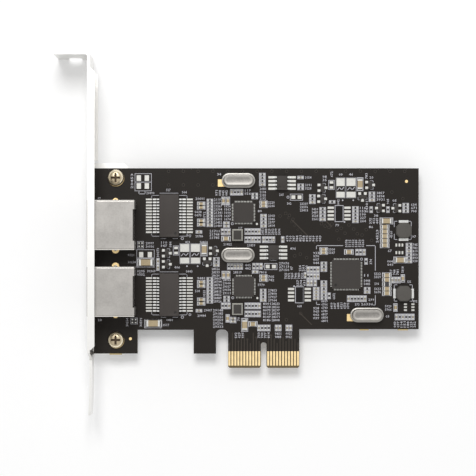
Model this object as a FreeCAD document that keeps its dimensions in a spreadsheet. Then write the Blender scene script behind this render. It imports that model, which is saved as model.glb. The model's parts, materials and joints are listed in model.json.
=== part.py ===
import FreeCAD, Part
import math
import os
import re
import Sketcher

# Two-port network interface card for a serial expansion slot, with its full-height bracket.
#
# The card lies flat with its component side up: +Z is the outward normal of the
# component face, and Z = 0 is that face. X = 0 is the middle of the key slot in the
# edge connector and Y = 0 is the connector's insertion edge. +Y runs up the card
# towards the bracket's screw tab, and the bracket stands at the -X end.
# All lengths are millimetres.

doc = FreeCAD.newDocument("NetworkCard")

# ---------------------------------------------------------------- driving dimensions

SIZES = {
    # how far a cut runs past what it cuts
    "past": 1.0,
    # printed circuit board
    "board_thickness": 1.57, "board_left": -57.0, "board_right": 52.0, "board_top": 67.0,
    "main_bottom": 13.0, "leg_right": -42.3, "leg_bottom": 4.84, "notch_top": 12.8,
    "latch_left": -23.5, "latch_right": -16.0, "latch_bottom": 4.8, "slot_top": 12.9,
    "slot_radius": 1.6, "connector_end": 11.95, "key_width": 1.9, "key_top": 8.6,
    "key_radius": 0.94, "corner_cut": 0.5, "bevel_length": 0.8, "bevel_depth": 0.35,
    "stub_height": 0.4, "stub_leg_left": -51.7, "stub_leg_right": -47.6,
    "stub_mid_left": 32.2, "stub_mid_right": 35.2, "stub_far_left": 45.0, "stub_far_right": 48.4,
    # gold contacts of the edge connector
    "contact_pitch": 1.0, "contact_width": 0.7, "contact_top": 5.6, "contact_count": 11,
    "contact_first": 1.5, "copper": 0.05,
    # bracket, one folded sheet
    "sheet": 0.86, "plate_outer": -58.17, "plate_inner": -57.31, "bracket_low": -3.8,
    "bracket_high": 14.62, "tab_end": -69.4, "tab_seat": 104.04, "tab_top": 104.9,
    "bend_outer": 1.36, "bend_inner": 0.5, "jog_top": 5.8, "jog_low": 4.2, "shoulder_low": 3.2,
    "tongue_outer": -57.71, "tongue_inner": -56.85, "flare_start": -5.0,
    "tail_outer": -58.11, "tail_inner": -57.25, "tail_end": -15.1,
    "tongue_low": 0.31, "tongue_high": 10.51, "tail_cut": 1.3,
    "lip_end": -55.8, "lip_low": 6.8, "lip_high": 99.5, "lip_cut": 1.2,
    "ear_end": -45.2, "ear_width": 10.0, "ear_relief": 0.7, "ear_cut": 1.8,
    "thread_hole": 3.0, "collar_diameter": 4.3, "collar_height": 0.9,
    "tab_low": -6.97, "notch_centre": -63.5, "notch_width": 4.42, "notch_depth": 3.3,
    # screws through the board into the bracket's ears
    "screw_x": -49.6, "screw_low_y": 9.47, "screw_spacing": 54.33, "screw_hole": 3.3,
    "head_diameter": 5.5, "head_height": 2.0, "head_bevel": 0.8, "shank_across": 2.7,
    "shank_length": 3.5, "recess_length": 3.0, "recess_width": 0.75, "recess_depth": 1.1,
    # modular jacks
    "jack_upper_y": 47.9, "jack_lower_y": 25.9, "jack_front": -58.45, "jack_back": -42.8,
    "jack_width": 16.4, "jack_height": 13.4, "shield_gauge": 0.3, "shield_round": 0.5,
    "collar_back": -55.1, "collar_drop": 0.35, "rear_step": 0.5, "rear_flap_width": 10.4,
    "shield_leg_x": -49.7, "shield_leg_width": 1.2, "leg_hole": 1.7,
    "window_width": 16.9, "window_low": -0.3, "window_high": 13.65,
    "insert_gap": 0.05, "insert_height": 12.7, "insert_setback": 0.25,
    "plug_width": 11.9, "plug_low": 4.0, "plug_high": 11.9, "plug_back": -45.5,
    "latch_slot_width": 6.2, "latch_slot_low": 2.2, "latch_slot_back": -48.5,
    "peg_x": -52.75, "peg_spacing": 11.43, "peg_diameter": 3.1, "peg_hole": 3.25, "peg_length": 2.3,
    "lamp_y": 5.7, "lamp_width": 2.6, "lamp_low": 1.0, "lamp_height": 2.1, "lamp_depth": 3.0,
    "wire_width": 0.4, "wire_pitch": 1.02, "wire_count": 8, "wire_gauge": 0.3, "wire_reach": 9.6,
    "wire_turn": 0.6, "wire_return": 2.6, "wire_top_gap": 0.1, "wire_dip": 2.9, "lamp_gap": 0.05,
    # joints on the solder side
    "pin_row_front": -46.4, "pin_row_back": -43.86, "pin_pitch": 2.54, "pin_stagger": 0.635,
    "joint_width": 1.7, "joint_height": 0.9, "joint_draw": 0.6,
    # isolation transformers
    "transformer_x": -31.65, "transformer_upper_y": 51.05, "transformer_lower_y": 24.65,
    "transformer_width": 6.7, "transformer_length": 14.5, "transformer_part": 1.5,
    "transformer_under": 1.2, "transformer_over": 1.7, "mould_draft": 6.0,
    "transformer_pitch": 1.0, "transformer_rows": 12, "transformer_reach": 2.2,
    "foot_gauge": 0.2, "foot_width": 0.45,
    # moulded chips
    "chip_height": 0.85, "controller_side": 6.7, "controller_upper_x": -6.78,
    "controller_upper_y": 52.15, "controller_lower_x": -6.64, "controller_lower_y": 27.3,
    "switch_side": 9.6, "switch_x": 27.7, "switch_y": 31.4, "dimple_width": 1.0, "dimple_depth": 0.1,
    "dimple_inset": 1.0, "switch_inset": 1.25, "memory_inset": 0.9, "transformer_inset": 1.2,
    "memory_width": 3.6, "memory_length": 4.9, "memory_part": 0.75, "memory_under": 0.6,
    "memory_over": 0.7, "memory_pitch": 1.27, "memory_rows": 4, "memory_reach": 1.25,
    "memory_upper_x": 6.18, "memory_upper_y": 62.05, "memory_lower_x": 3.29, "memory_lower_y": 38.76,
    # crystals
    "crystal_base_height": 0.5, "crystal_length": 11.2, "crystal_width": 4.9, "flange_height": 0.4,
    "can_length": 10.2, "can_width": 3.9, "can_height": 3.1, "can_bevel": 0.4, "base_inset": 0.6,
    "crystal_upper_x": -8.47, "crystal_upper_y": 62.9, "crystal_middle_x": -8.65,
    "crystal_middle_y": 37.9, "crystal_lower_x": 34.6, "crystal_lower_y": 17.8,
    # inductors
    "coil_side": 5.2, "coil_height": 2.6, "coil_corner": 1.3, "coil_bevel": 0.35, "clip_width": 3.2,
    "clip_reach": 0.85, "clip_height": 0.45, "block_width": 3.6, "block_length": 4.0,
    "block_height": 2.0, "block_bevel": 0.4, "coil_x": 46.9, "coil_upper_y": 46.1,
    "coil_lower_y": 25.0, "block_x": -8.8, "block_upper_y": 44.6, "block_lower_y": 19.8,
    # small transistors
    "transistor_length": 2.9, "transistor_width": 1.3, "transistor_under": 0.1,
    "transistor_height": 0.95, "transistor_reach": 0.55, "transistor_lead": 0.42,
    "transistor_pitch": 0.95, "lead_gauge": 0.15,
}

sheet = doc.addObject("Spreadsheet::Sheet", "Sizes")
for row, (alias, value) in enumerate(SIZES.items(), start=1):
    sheet.set("A%d" % row, alias)
    sheet.set("B%d" % row, str(value))
    sheet.setAlias("B%d" % row, alias)
doc.recompute()

# ---------------------------------------------------------------- helpers

TERM = re.compile(r"([+-]?)\s*(\w+(?:\.\d+)?)\s*(?:/\s*([\d.]+))?")


def value_of(formula):
    """Value in mm of a sum of cells, such as "jack_front + sheet / 2"."""
    total = 0.0
    for sign, name, divisor in TERM.findall(formula):
        size = SIZES[name] if name in SIZES else float(name)
        total += (-1 if sign == "-" else 1) * size / float(divisor or 1)
    return total


def linked(formula):
    """The same sum as an expression that reads the spreadsheet."""
    return re.sub(r"[a-z]\w*", lambda name: "Sizes." + name.group(), formula)


def bind(thing, **formulas):
    """Tie properties to the sheet; Base_x stands for Placement.Base.x and so on."""
    for name, formula in formulas.items():
        target = name.replace("Base_", "Placement.Base.")
        thing.setExpression(target, linked(formula))


def new_body(label, x="0", y="0", z="0"):
    body = doc.addObject("PartDesign::Body", label)
    body.Label = label
    body.AllowCompound = True
    bind(body, Base_x=x, Base_y=y, Base_z=z)
    return body


def origin_feature(body, role):
    return [feature for feature in body.Origin.OriginFeatures if feature.Role == role][0]


def new_sketch(body, plane, offset="0"):
    """Sketch on one of the body's own origin planes, moved along the plane's normal."""
    sketch = body.newObject("Sketcher::SketchObject", "Sketch")
    sketch.AttachmentSupport = [(origin_feature(body, plane), "")]
    sketch.MapMode = "FlatFace"
    sketch.setExpression("AttachmentOffset.Base.z", linked(offset))
    return sketch


def add_polygon(sketch, corners):
    """Closed outline whose corners are dimensioned from the sketch's origin."""
    first = sketch.GeometryCount
    points = [FreeCAD.Vector(value_of(u), value_of(v), 0) for u, v in corners]
    count = len(points)
    for i in range(count):
        sketch.addGeometry(Part.LineSegment(points[i], points[(i + 1) % count]), False)
    for i in range(count):
        sketch.addConstraint(
            Sketcher.Constraint("Coincident", first + i, 2, first + (i + 1) % count, 1))
    for i, corner in enumerate(corners):
        for kind, formula in zip(("DistanceX", "DistanceY"), corner):
            number = sketch.addConstraint(
                Sketcher.Constraint(kind, -1, 1, first + i, 1, value_of(formula)))
            sketch.setExpression("Constraints[%d]" % number, linked(formula))


def add_rectangle(sketch, u0, v0, u1, v1):
    add_polygon(sketch, [(u0, v0), (u1, v0), (u1, v1), (u0, v1)])


def add_circle(sketch, u, v, diameter):
    centre = FreeCAD.Vector(value_of(u), value_of(v), 0)
    circle = sketch.addGeometry(
        Part.Circle(centre, FreeCAD.Vector(0, 0, 1), value_of(diameter) / 2), False)
    for constraint, formula in (
        (Sketcher.Constraint("DistanceX", -1, 1, circle, 3, centre.x), u),
        (Sketcher.Constraint("DistanceY", -1, 1, circle, 3, centre.y), v),
        (Sketcher.Constraint("Diameter", circle, value_of(diameter)), diameter),
    ):
        number = sketch.addConstraint(constraint)
        sketch.setExpression("Constraints[%d]" % number, linked(formula))


def add_octagon(sketch, u, v, across):
    """Eight-sided outline, for small round details that repeat."""
    # 4.83 is twice 1 + sqrt(2): the width across flats over half of one side
    half, side = across + " / 2", across + " / 4.83"
    add_polygon(sketch, [(u + a, v + b) for a, b in (
        (" + " + half, " - " + side), (" + " + half, " + " + side), (" + " + side, " + " + half),
        (" - " + side, " + " + half), (" - " + half, " + " + side), (" - " + half, " - " + side),
        (" - " + side, " - " + half), (" + " + side, " - " + half))])


def add_round_ended(sketch, length, width):
    """Outline with two straight sides and two half-round ends, centred on the origin."""
    radius = value_of(width) / 2
    reach = value_of(length) / 2 - radius
    centre = FreeCAD.Vector(reach, 0, 0)
    up = FreeCAD.Vector(0, 0, 1)
    side = FreeCAD.Vector(0, radius, 0)
    turn = math.pi / 2
    sketch.addGeometry([
        Part.LineSegment(centre + side, side - centre),
        Part.ArcOfCircle(Part.Circle(-centre, up, radius), turn, 3 * turn),
        Part.LineSegment(-centre - side, centre - side),
        Part.ArcOfCircle(Part.Circle(centre, up, radius), -turn, turn)], False)
    sketch.addConstraint([
        Sketcher.Constraint("Tangent", 0, 2, 1, 1), Sketcher.Constraint("Tangent", 1, 2, 2, 1),
        Sketcher.Constraint("Tangent", 2, 2, 3, 1), Sketcher.Constraint("Tangent", 3, 2, 0, 1),
        Sketcher.Constraint("PointOnObject", 1, 3, -1), Sketcher.Constraint("Horizontal", 0),
        Sketcher.Constraint("Symmetric", 1, 3, 3, 3, -1, 1)])
    ends = sketch.addConstraint(Sketcher.Constraint("DistanceX", 1, 3, 3, 3, 2 * reach))
    sketch.setExpression("Constraints[%d]" % ends, "%s - %s" % (linked(length), linked(width)))
    round_end = sketch.addConstraint(Sketcher.Constraint("Radius", 1, radius))
    sketch.setExpression("Constraints[%d]" % round_end, linked(width) + " / 2")


def pad(body, sketch, length, reverse=False, both_ways=False, draft=None):
    feature = body.newObject("PartDesign::Pad", "Pad")
    feature.Profile = sketch
    feature.Reversed = reverse
    feature.Midplane = both_ways
    feature.setExpression("Length", linked(length))
    if draft:
        feature.setExpression("TaperAngle", "-" + linked(draft))
    doc.recompute()
    return feature


def pocket(body, sketch, length=None, reverse=False):
    """Cut a sketch into the body by a length, or right through when none is given."""
    before = body.Shape.Volume
    feature = body.newObject("PartDesign::Pocket", "Pocket")
    feature.Profile = sketch
    if length:
        feature.Reversed = reverse
        feature.setExpression("Length", linked(length))
    else:
        feature.Type = "ThroughAll"
        feature.Midplane = True
    doc.recompute()
    if not body.Shape.Volume < before:
        raise RuntimeError("a pocket in %s cuts nothing" % body.Label)


def dress(body, kind, size, chosen):
    """Fillet or chamfer, as kind says, the edges that chosen(edge) picks."""
    dressed = body.Tip
    names = ["Edge%d" % (i + 1) for i, edge in enumerate(dressed.Shape.Edges) if chosen(edge)]
    if not names:
        raise RuntimeError("no edge of %s to dress" % body.Label)
    feature = body.newObject("PartDesign::" + kind, kind)
    feature.Base = (dressed, names)
    feature.setExpression("Radius" if kind == "Fillet" else "Size", linked(size))
    doc.recompute()
    if feature.State != ["Up-to-date"]:
        raise RuntimeError("%s of %s failed" % (kind, body.Label))


def runs_along(edge, axis, *places):
    """True for a straight edge along an axis (0, 1 or 2) that passes one of the places.

    A place gives the other two coordinates, in X, Y, Z order, as formulas.
    """
    if len(edge.Vertexes) != 2 or not isinstance(edge.Curve, Part.Line):
        return False
    start, end = (vertex.Point for vertex in edge.Vertexes)
    across = [i for i in range(3) if i != axis]
    if any(abs(start[i] - end[i]) > 1e-6 for i in across):
        return False
    return any(
        all(abs(start[i] - value_of(formula)) < 1e-4 for i, formula in zip(across, place))
        for place in places)


def span(pitch, count):
    """Expression for the distance from the first to the last of a row."""
    return "%s * (%s - 1)" % (linked(pitch), linked(count))


def repeat(body, features, axis, pitch, count, mirror=None):
    """Copy features along an origin axis, and across an origin plane when one is named."""
    pattern = body.newObject("PartDesign::MultiTransform", "Repeat")
    row = body.newObject("PartDesign::LinearPattern", "Row")
    row.Direction = (origin_feature(body, axis), [""])
    row.setExpression("Length", span(pitch, count))
    row.setExpression("Occurrences", linked(count))
    pattern.Originals = features
    pattern.Transformations = [row]
    if mirror:
        other = body.newObject("PartDesign::Mirrored", "OtherSide")
        other.MirrorPlane = (origin_feature(body, mirror), [""])
        pattern.Transformations = [row, other]
    body.Tip = pattern
    doc.recompute()


def centre_row(body, y, pitch, count):
    """Place a body whose row starts at its origin so that the row's middle is at y."""
    body.setExpression("Placement.Base.y", "%s - %s / 2" % (linked(y), span(pitch, count)))
    doc.recompute()


def box(x0, y0, z0, length, width, height):
    """Plain block from its low corner, each measure a formula."""
    block = doc.addObject("Part::Box", "Block")
    bind(block, Length=length, Width=width, Height=height, Base_x=x0, Base_y=y0, Base_z=z0)
    return block


def group(label, members):
    """One node that holds like pieces as separate solids."""
    compound = doc.addObject("Part::Compound", label)
    compound.Label = label
    compound.Links = members
    return compound


# ---------------------------------------------------------------- circuit board

def circuit_board():
    """Board with its edge connector, latch tab, leg, slots and drilled holes."""
    body = new_body("circuit_board")
    outline = new_sketch(body, "XY_Plane")
    add_polygon(outline, [
        ("board_left", "board_top"), ("board_left", "leg_bottom"), ("leg_right", "leg_bottom"),
        ("leg_right", "notch_top"), ("latch_left", "notch_top"), ("latch_left", "latch_bottom"),
        ("latch_right", "latch_bottom"), ("latch_right", "slot_top"),
        ("-connector_end", "slot_top"), ("-connector_end", "0"), ("-key_width / 2", "0"),
        ("-key_width / 2", "key_top"), ("key_width / 2", "key_top"), ("key_width / 2", "0"),
        ("connector_end", "0"), ("connector_end", "main_bottom"),
        ("board_right", "main_bottom"), ("board_right", "board_top")])
    pad(body, outline, "board_thickness", reverse=True)
    stubs = new_sketch(body, "XY_Plane")
    for left, right, bottom in (("stub_leg_left", "stub_leg_right", "leg_bottom"),
                                ("stub_mid_left", "stub_mid_right", "main_bottom"),
                                ("stub_far_left", "stub_far_right", "main_bottom")):
        add_rectangle(stubs, left, bottom + " - stub_height", right, bottom)
    pad(body, stubs, "board_thickness", reverse=True)
    dress(body, "Fillet", "key_radius", lambda edge: runs_along(
        edge, 2, ("-key_width / 2", "key_top"), ("key_width / 2", "key_top")))
    dress(body, "Fillet", "slot_radius", lambda edge: runs_along(
        edge, 2, ("latch_right", "slot_top"), ("-connector_end", "slot_top")))
    dress(body, "Chamfer", "corner_cut", lambda edge: runs_along(
        edge, 2, ("-connector_end", "0"), ("-key_width / 2", "0"), ("key_width / 2", "0"),
        ("connector_end", "0")))
    bevel = new_sketch(body, "YZ_Plane")
    add_polygon(bevel, [("0", "0"), ("bevel_length", "0"), ("0", "-bevel_depth")])
    add_polygon(bevel, [("0", "-board_thickness"), ("bevel_length", "-board_thickness"),
                        ("0", "bevel_depth - board_thickness")])
    pocket(body, bevel)
    holes = new_sketch(body, "XY_Plane")
    add_circle(holes, "screw_x", "screw_low_y", "screw_hole")
    add_circle(holes, "screw_x", "screw_low_y + screw_spacing", "screw_hole")
    for centre in ("jack_upper_y", "jack_lower_y"):
        for side in (" - ", " + "):
            add_octagon(holes, "peg_x", centre + side + "peg_spacing / 2", "peg_hole")
            add_octagon(holes, "shield_leg_x", centre + side + "jack_width / 2", "leg_hole")
    pocket(body, holes)


def edge_contacts():
    """Gold contacts on both faces, a row on each side of the key slot."""
    body = new_body("edge_contacts")
    features = []
    for height, reverse in (("0", False), ("-board_thickness", True)):
        finger = new_sketch(body, "XY_Plane", height)
        add_rectangle(finger, "contact_first - contact_width / 2", "bevel_length",
                      "contact_first + contact_width / 2", "contact_top")
        features.append(pad(body, finger, "copper", reverse=reverse))
    repeat(body, features, "X_Axis", "contact_pitch", "contact_count", "YZ_Plane")


# ---------------------------------------------------------------- bracket and screws

def io_bracket():
    """Full-height bracket: one sheet with screw tab, lips, jack windows, ears and tongue."""
    body = new_body("io_bracket")
    profile = new_sketch(body, "XY_Plane", "bracket_low")
    add_polygon(profile, [
        ("tab_end", "tab_seat"), ("tab_end", "tab_top"), ("plate_inner", "tab_top"),
        ("plate_inner", "jog_top"), ("tongue_inner", "jog_low"), ("tongue_inner", "flare_start"),
        ("tail_inner", "tail_end"), ("tail_outer", "tail_end"), ("tongue_outer", "flare_start"),
        ("tongue_outer", "jog_low"), ("plate_outer", "jog_top"), ("plate_outer", "tab_seat")])
    pad(body, profile, "bracket_high - bracket_low")
    wide_tab = new_sketch(body, "XZ_Plane", "-tab_top")
    add_rectangle(wide_tab, "tab_end", "tab_low", "plate_outer - bend_inner", "bracket_low")
    pad(body, wide_tab, "sheet")
    dress(body, "Fillet", "bend_outer", lambda edge: runs_along(
        edge, 2, ("plate_inner", "tab_top")))
    dress(body, "Fillet", "bend_inner", lambda edge: runs_along(
        edge, 2, ("plate_outer", "tab_seat")))

    # stiffening lips folded from both long edges towards the card
    for low in ("bracket_low", "bracket_high - sheet"):
        lip = new_sketch(body, "XY_Plane", low)
        add_rectangle(lip, "plate_outer", "lip_low", "lip_end", "lip_high")
        pad(body, lip, "sheet")
    dress(body, "Chamfer", "lip_cut", lambda edge: runs_along(
        edge, 2, ("lip_end", "lip_low"), ("lip_end", "lip_high")))

    # the tongue that drops into the chassis, narrower than the plate
    shoulders = new_sketch(body, "YZ_Plane")
    for edge, beyond, side, inward in (
            ("bracket_low", "bracket_low - past", "tongue_low", " + "),
            ("bracket_high", "bracket_high + past", "tongue_high", " - ")):
        add_polygon(shoulders, [
            ("jog_top", beyond), ("jog_top", edge), ("shoulder_low", side),
            ("tail_end + tail_cut", side), ("tail_end - past", side + inward + "tail_cut + past"),
            ("tail_end - past", beyond)])
    pocket(body, shoulders)

    # windows for the jacks
    windows = new_sketch(body, "YZ_Plane")
    for centre in ("jack_upper_y", "jack_lower_y"):
        add_rectangle(windows, centre + " - window_width / 2", "window_low",
                      centre + " + window_width / 2", "window_high")
    pocket(body, windows)

    # each ear is bent from the long edge, between two relief cuts, and lies under the board
    relief = new_sketch(body, "YZ_Plane")
    ears = new_sketch(body, "XY_Plane", "-board_thickness")
    collars = new_sketch(body, "XY_Plane", "-board_thickness")
    threads = new_sketch(body, "XY_Plane")
    for centre in ("screw_low_y", "screw_low_y + screw_spacing"):
        add_rectangle(relief, centre + " - ear_width / 2 - ear_relief", "bracket_low - past",
                      centre + " + ear_width / 2 + ear_relief", "-board_thickness - sheet")
        add_rectangle(ears, "plate_outer", centre + " - ear_width / 2",
                      "ear_end", centre + " + ear_width / 2")
        add_octagon(collars, "screw_x", centre, "collar_diameter")
        add_octagon(threads, "screw_x", centre, "thread_hole")
    pocket(body, relief)
    pad(body, ears, "sheet", reverse=True)
    pad(body, collars, "sheet + collar_height", reverse=True)
    pocket(body, threads)
    ends = [("ear_end", centre + side + "ear_width / 2")
            for centre in ("screw_low_y", "screw_low_y + screw_spacing") for side in (" - ", " + ")]
    dress(body, "Chamfer", "ear_cut", lambda edge: runs_along(edge, 2, *ends))

    # screw notch, open at the tab's solder-side edge
    notch = new_sketch(body, "XZ_Plane")
    add_rectangle(notch, "notch_centre - notch_width / 2", "tab_low - past",
                  "notch_centre + notch_width / 2", "tab_low + notch_depth")
    pocket(body, notch)
    notch_end = new_sketch(body, "XZ_Plane")
    add_circle(notch_end, "notch_centre", "tab_low + notch_depth", "notch_width")
    pocket(body, notch_end)


def bracket_screws():
    """Two pan-head cross-recess screws that hold the board on the ears."""
    body = new_body("bracket_screws", "screw_x", "screw_low_y")
    head = new_sketch(body, "XY_Plane")
    add_circle(head, "0", "0", "head_diameter")
    pad(body, head, "head_height")
    dress(body, "Chamfer", "head_bevel", lambda edge: len(edge.Vertexes) == 1
          and abs(edge.CenterOfMass.z - value_of("head_height")) < 1e-6)
    shank = new_sketch(body, "XY_Plane")
    add_octagon(shank, "0", "0", "shank_across")
    pad(body, shank, "shank_length", reverse=True)
    recess = new_sketch(body, "XY_Plane", "head_height")
    add_polygon(recess, cross_corners("recess_length / 2", "recess_width / 2"))
    pocket(body, recess, "recess_depth")
    pair = body.newObject("PartDesign::LinearPattern", "Pair")
    pair.TransformMode = "Whole shape"
    pair.Direction = (origin_feature(body, "Y_Axis"), [""])
    pair.setExpression("Length", linked("screw_spacing"))
    pair.Occurrences = 2
    body.Tip = pair
    doc.recompute()


def cross_corners(arm, half):
    """Corners of an upright cross, counter-clockwise."""
    quarter = [(arm, "-" + half), (arm, half), (half, half)]
    corners = []
    for _ in range(4):
        corners += quarter
        quarter = [(negated(v), u) for u, v in quarter]
    return corners


def negated(formula):
    return formula[1:] if formula.startswith("-") else "-" + formula


# ---------------------------------------------------------------- modular jacks

def port_shield(which):
    """Formed tin-plated shell of a jack, open at the front and underneath."""
    body = new_body("port_shield_" + which, y="jack_%s_y" % which)
    half = "jack_width / 2"
    shell = new_sketch(body, "XY_Plane")
    add_rectangle(shell, "jack_front", "-" + half, "jack_back", half)
    pad(body, shell, "jack_height")
    dress(body, "Fillet", "shield_round", lambda edge: runs_along(
        edge, 0, ("-" + half, "jack_height"), (half, "jack_height")))

    # the front collar sits lower, inside the bracket's window
    collar = new_sketch(body, "XZ_Plane")
    add_rectangle(collar, "jack_front - past", "jack_height - collar_drop",
                  "collar_back", "jack_height + past")
    pocket(body, collar)
    for front, back, drop in (
            ("jack_front - past", "collar_back", " - shield_gauge - collar_drop"),
            ("collar_back + shield_gauge / 2", "jack_back - shield_gauge", " - shield_gauge")):
        cavity = new_sketch(body, "XY_Plane")
        add_rectangle(cavity, front, "shield_gauge - " + half, back, half + " - shield_gauge")
        pocket(body, cavity, "jack_height" + drop, reverse=True)
    neck = new_sketch(body, "XY_Plane")
    add_rectangle(neck, "collar_back", "shield_gauge - " + half,
                  "collar_back + shield_gauge / 2", half + " - shield_gauge")
    pocket(body, neck, "jack_height - shield_gauge - collar_drop", reverse=True)

    # the rear flap folds down inside the two rear corners
    flap_half = "rear_flap_width / 2"
    step = new_sketch(body, "XY_Plane")
    add_rectangle(step, "jack_back - rear_step", "-" + flap_half, "jack_back + past", flap_half)
    pocket(body, step)
    flap = new_sketch(body, "XY_Plane")
    add_rectangle(flap, "jack_back - rear_step - shield_gauge", "-" + flap_half,
                  "jack_back - rear_step", flap_half)
    pad(body, flap, "jack_height")
    legs = new_sketch(body, "XY_Plane")
    for inner, outer in ((half + " - shield_gauge", half), ("-" + half, "shield_gauge - " + half)):
        add_rectangle(legs, "shield_leg_x - shield_leg_width / 2", inner,
                      "shield_leg_x + shield_leg_width / 2", outer)
    pad(body, legs, "board_thickness", reverse=True)


def port_insert(which):
    """Moulded insert: plug cavity, latch slot, lamp pockets and two board pegs."""
    body = new_body("port_insert_" + which, y="jack_%s_y" % which)
    half = "jack_width / 2 - shield_gauge - insert_gap"
    block = new_sketch(body, "XY_Plane")
    add_rectangle(block, "jack_front + insert_setback",
                  "shield_gauge + insert_gap - jack_width / 2",
                  "jack_back - rear_step - shield_gauge - insert_gap", half)
    pad(body, block, "insert_height")
    for low, high, width, back in (
            ("plug_low", "plug_high", "plug_width", "plug_back"),
            ("latch_slot_low", "plug_low + past", "latch_slot_width", "latch_slot_back")):
        cavity = new_sketch(body, "YZ_Plane", "jack_front")
        add_rectangle(cavity, "-" + width + " / 2", low, width + " / 2", high)
        pocket(body, cavity, back + " - jack_front", reverse=True)
    lamps = new_sketch(body, "YZ_Plane", "jack_front")
    for centre in ("-lamp_y", "lamp_y"):
        add_rectangle(lamps, centre + " - lamp_width / 2", "lamp_low",
                      centre + " + lamp_width / 2", "lamp_low + lamp_height")
    pocket(body, lamps, "insert_setback + lamp_depth", reverse=True)
    pegs = new_sketch(body, "XY_Plane")
    for centre in ("-peg_spacing / 2", "peg_spacing / 2"):
        add_octagon(pegs, "peg_x", centre, "peg_diameter")
    pad(body, pegs, "peg_length", reverse=True)


def port_contacts(which):
    """Eight sprung wires that reach into the plug cavity from its rear wall."""
    body = new_body("port_contacts_" + which, y="jack_%s_y" % which)
    wire = new_sketch(body, "XZ_Plane")
    top = "plug_high - wire_top_gap"
    under_top = top + " - wire_gauge"
    front = "plug_back - wire_reach"
    free_end = "plug_back - wire_return"
    add_polygon(wire, [
        ("plug_back", under_top), ("plug_back", top), (front + " + wire_gauge", top),
        (front, under_top), (front, under_top + " - wire_gauge"),
        (free_end, "plug_high - wire_dip"), (free_end, "plug_high - wire_dip + wire_gauge"),
        (front + " + wire_turn", under_top)])
    first = pad(body, wire, "wire_width", both_ways=True)
    repeat(body, [first], "Y_Axis", "wire_pitch", "wire_count")
    centre_row(body, "jack_%s_y" % which, "wire_pitch", "wire_count")


def port_lamps():
    """Light pipes in the lower corners of both jack faces."""
    lamps = []
    for centre in ("jack_upper_y", "jack_lower_y"):
        for side in (" - ", " + "):
            middle = centre + side + "lamp_y"
            lamps.append(box(
                "jack_front + insert_setback", middle + " - lamp_width / 2 + lamp_gap", "lamp_low",
                "lamp_depth", "lamp_width - lamp_gap - lamp_gap", "lamp_height - lamp_gap"))
    group("port_lamps", lamps)


def solder_joints():
    """Joints round the jacks' pin ends: eight-sided feet on the board, drawn in to small tips."""
    body = new_body("solder_joints", y="jack_lower_y", z="-board_thickness")
    places = [("shield_leg_x", "-jack_width / 2"), ("shield_leg_x", "jack_width / 2")]
    for step in ("-pin_pitch - pin_pitch / 2", "-pin_pitch / 2", "pin_pitch / 2",
                 "pin_pitch + pin_pitch / 2"):
        places.append(("pin_row_front", step + " - pin_stagger"))
        places.append(("pin_row_back", step + " + pin_stagger"))
    for x, y in places:
        foot = new_sketch(body, "XY_Plane")
        add_octagon(foot, x, y, "joint_width")
        pad(body, foot, "joint_height", reverse=True)
    dress(body, "Chamfer", "joint_draw", lambda edge: abs(
        edge.BoundBox.ZMax + value_of("joint_height")) < 1e-6)
    other_jack = body.newObject("PartDesign::LinearPattern", "OtherJack")
    other_jack.TransformMode = "Whole shape"
    other_jack.Direction = (origin_feature(body, "Y_Axis"), [""])
    other_jack.setExpression("Length", "Sizes.jack_upper_y - Sizes.jack_lower_y")
    other_jack.Occurrences = 2
    body.Tip = other_jack
    doc.recompute()


# ---------------------------------------------------------------- moulded parts with leads

def moulded_body(label, x, y, width, length, part_line, under, over, dimple_x, dimple_y):
    """Moulded package drafted both ways from its parting line, with a pin-one dimple."""
    body = new_body(label, x, y, part_line)
    for height, down in ((over, False), (under, True)):
        outline = new_sketch(body, "XY_Plane")
        add_rectangle(outline, "-%s / 2" % width, "-%s / 2" % length,
                      "%s / 2" % width, "%s / 2" % length)
        pad(body, outline, height, reverse=down, draft="mould_draft")
    dimple = new_sketch(body, "XY_Plane", over)
    add_octagon(dimple, dimple_x, dimple_y, "dimple_width")
    pocket(body, dimple, "dimple_depth")


def gull_leads(label, x, y, half_width, part_line, reach, pitch, count):
    """Gull-wing leads in a row on both sides of a package."""
    body = new_body(label, x, y)
    low, high = part_line + " - foot_gauge / 2", part_line + " + foot_gauge / 2"
    shoulder = "%s + %s / 3" % (half_width, reach)
    heel = "%s + %s / 2" % (half_width, reach)
    toe = "%s + %s" % (half_width, reach)
    lead = new_sketch(body, "XZ_Plane")
    add_polygon(lead, [
        (half_width, low), (half_width, high), (shoulder, high), (heel, "foot_gauge"),
        (toe, "foot_gauge"), (toe, "0"), (heel + " - foot_gauge", "0"),
        (shoulder + " - foot_gauge", low)])
    first = pad(body, lead, "foot_width", both_ways=True)
    repeat(body, [first], "Y_Axis", pitch, count, "YZ_Plane")
    centre_row(body, y, pitch, count)


def transformer(which):
    y = "transformer_%s_y" % which
    moulded_body("transformer_" + which, "transformer_x", y, "transformer_width",
                 "transformer_length", "transformer_part", "transformer_under",
                 "transformer_over", "transformer_width / 2 - transformer_inset",
                 "transformer_inset - transformer_length / 2")
    gull_leads("transformer_leads_" + which, "transformer_x", y, "transformer_width / 2",
               "transformer_part", "transformer_reach", "transformer_pitch", "transformer_rows")


def memory_chip(which):
    x, y = "memory_%s_x" % which, "memory_%s_y" % which
    moulded_body("memory_chip_" + which, x, y, "memory_width", "memory_length", "memory_part",
                 "memory_under", "memory_over", "memory_inset - memory_width / 2",
                 "memory_inset - memory_length / 2")
    gull_leads("memory_leads_" + which, x, y, "memory_width / 2", "memory_part", "memory_reach",
               "memory_pitch", "memory_rows")


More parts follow.
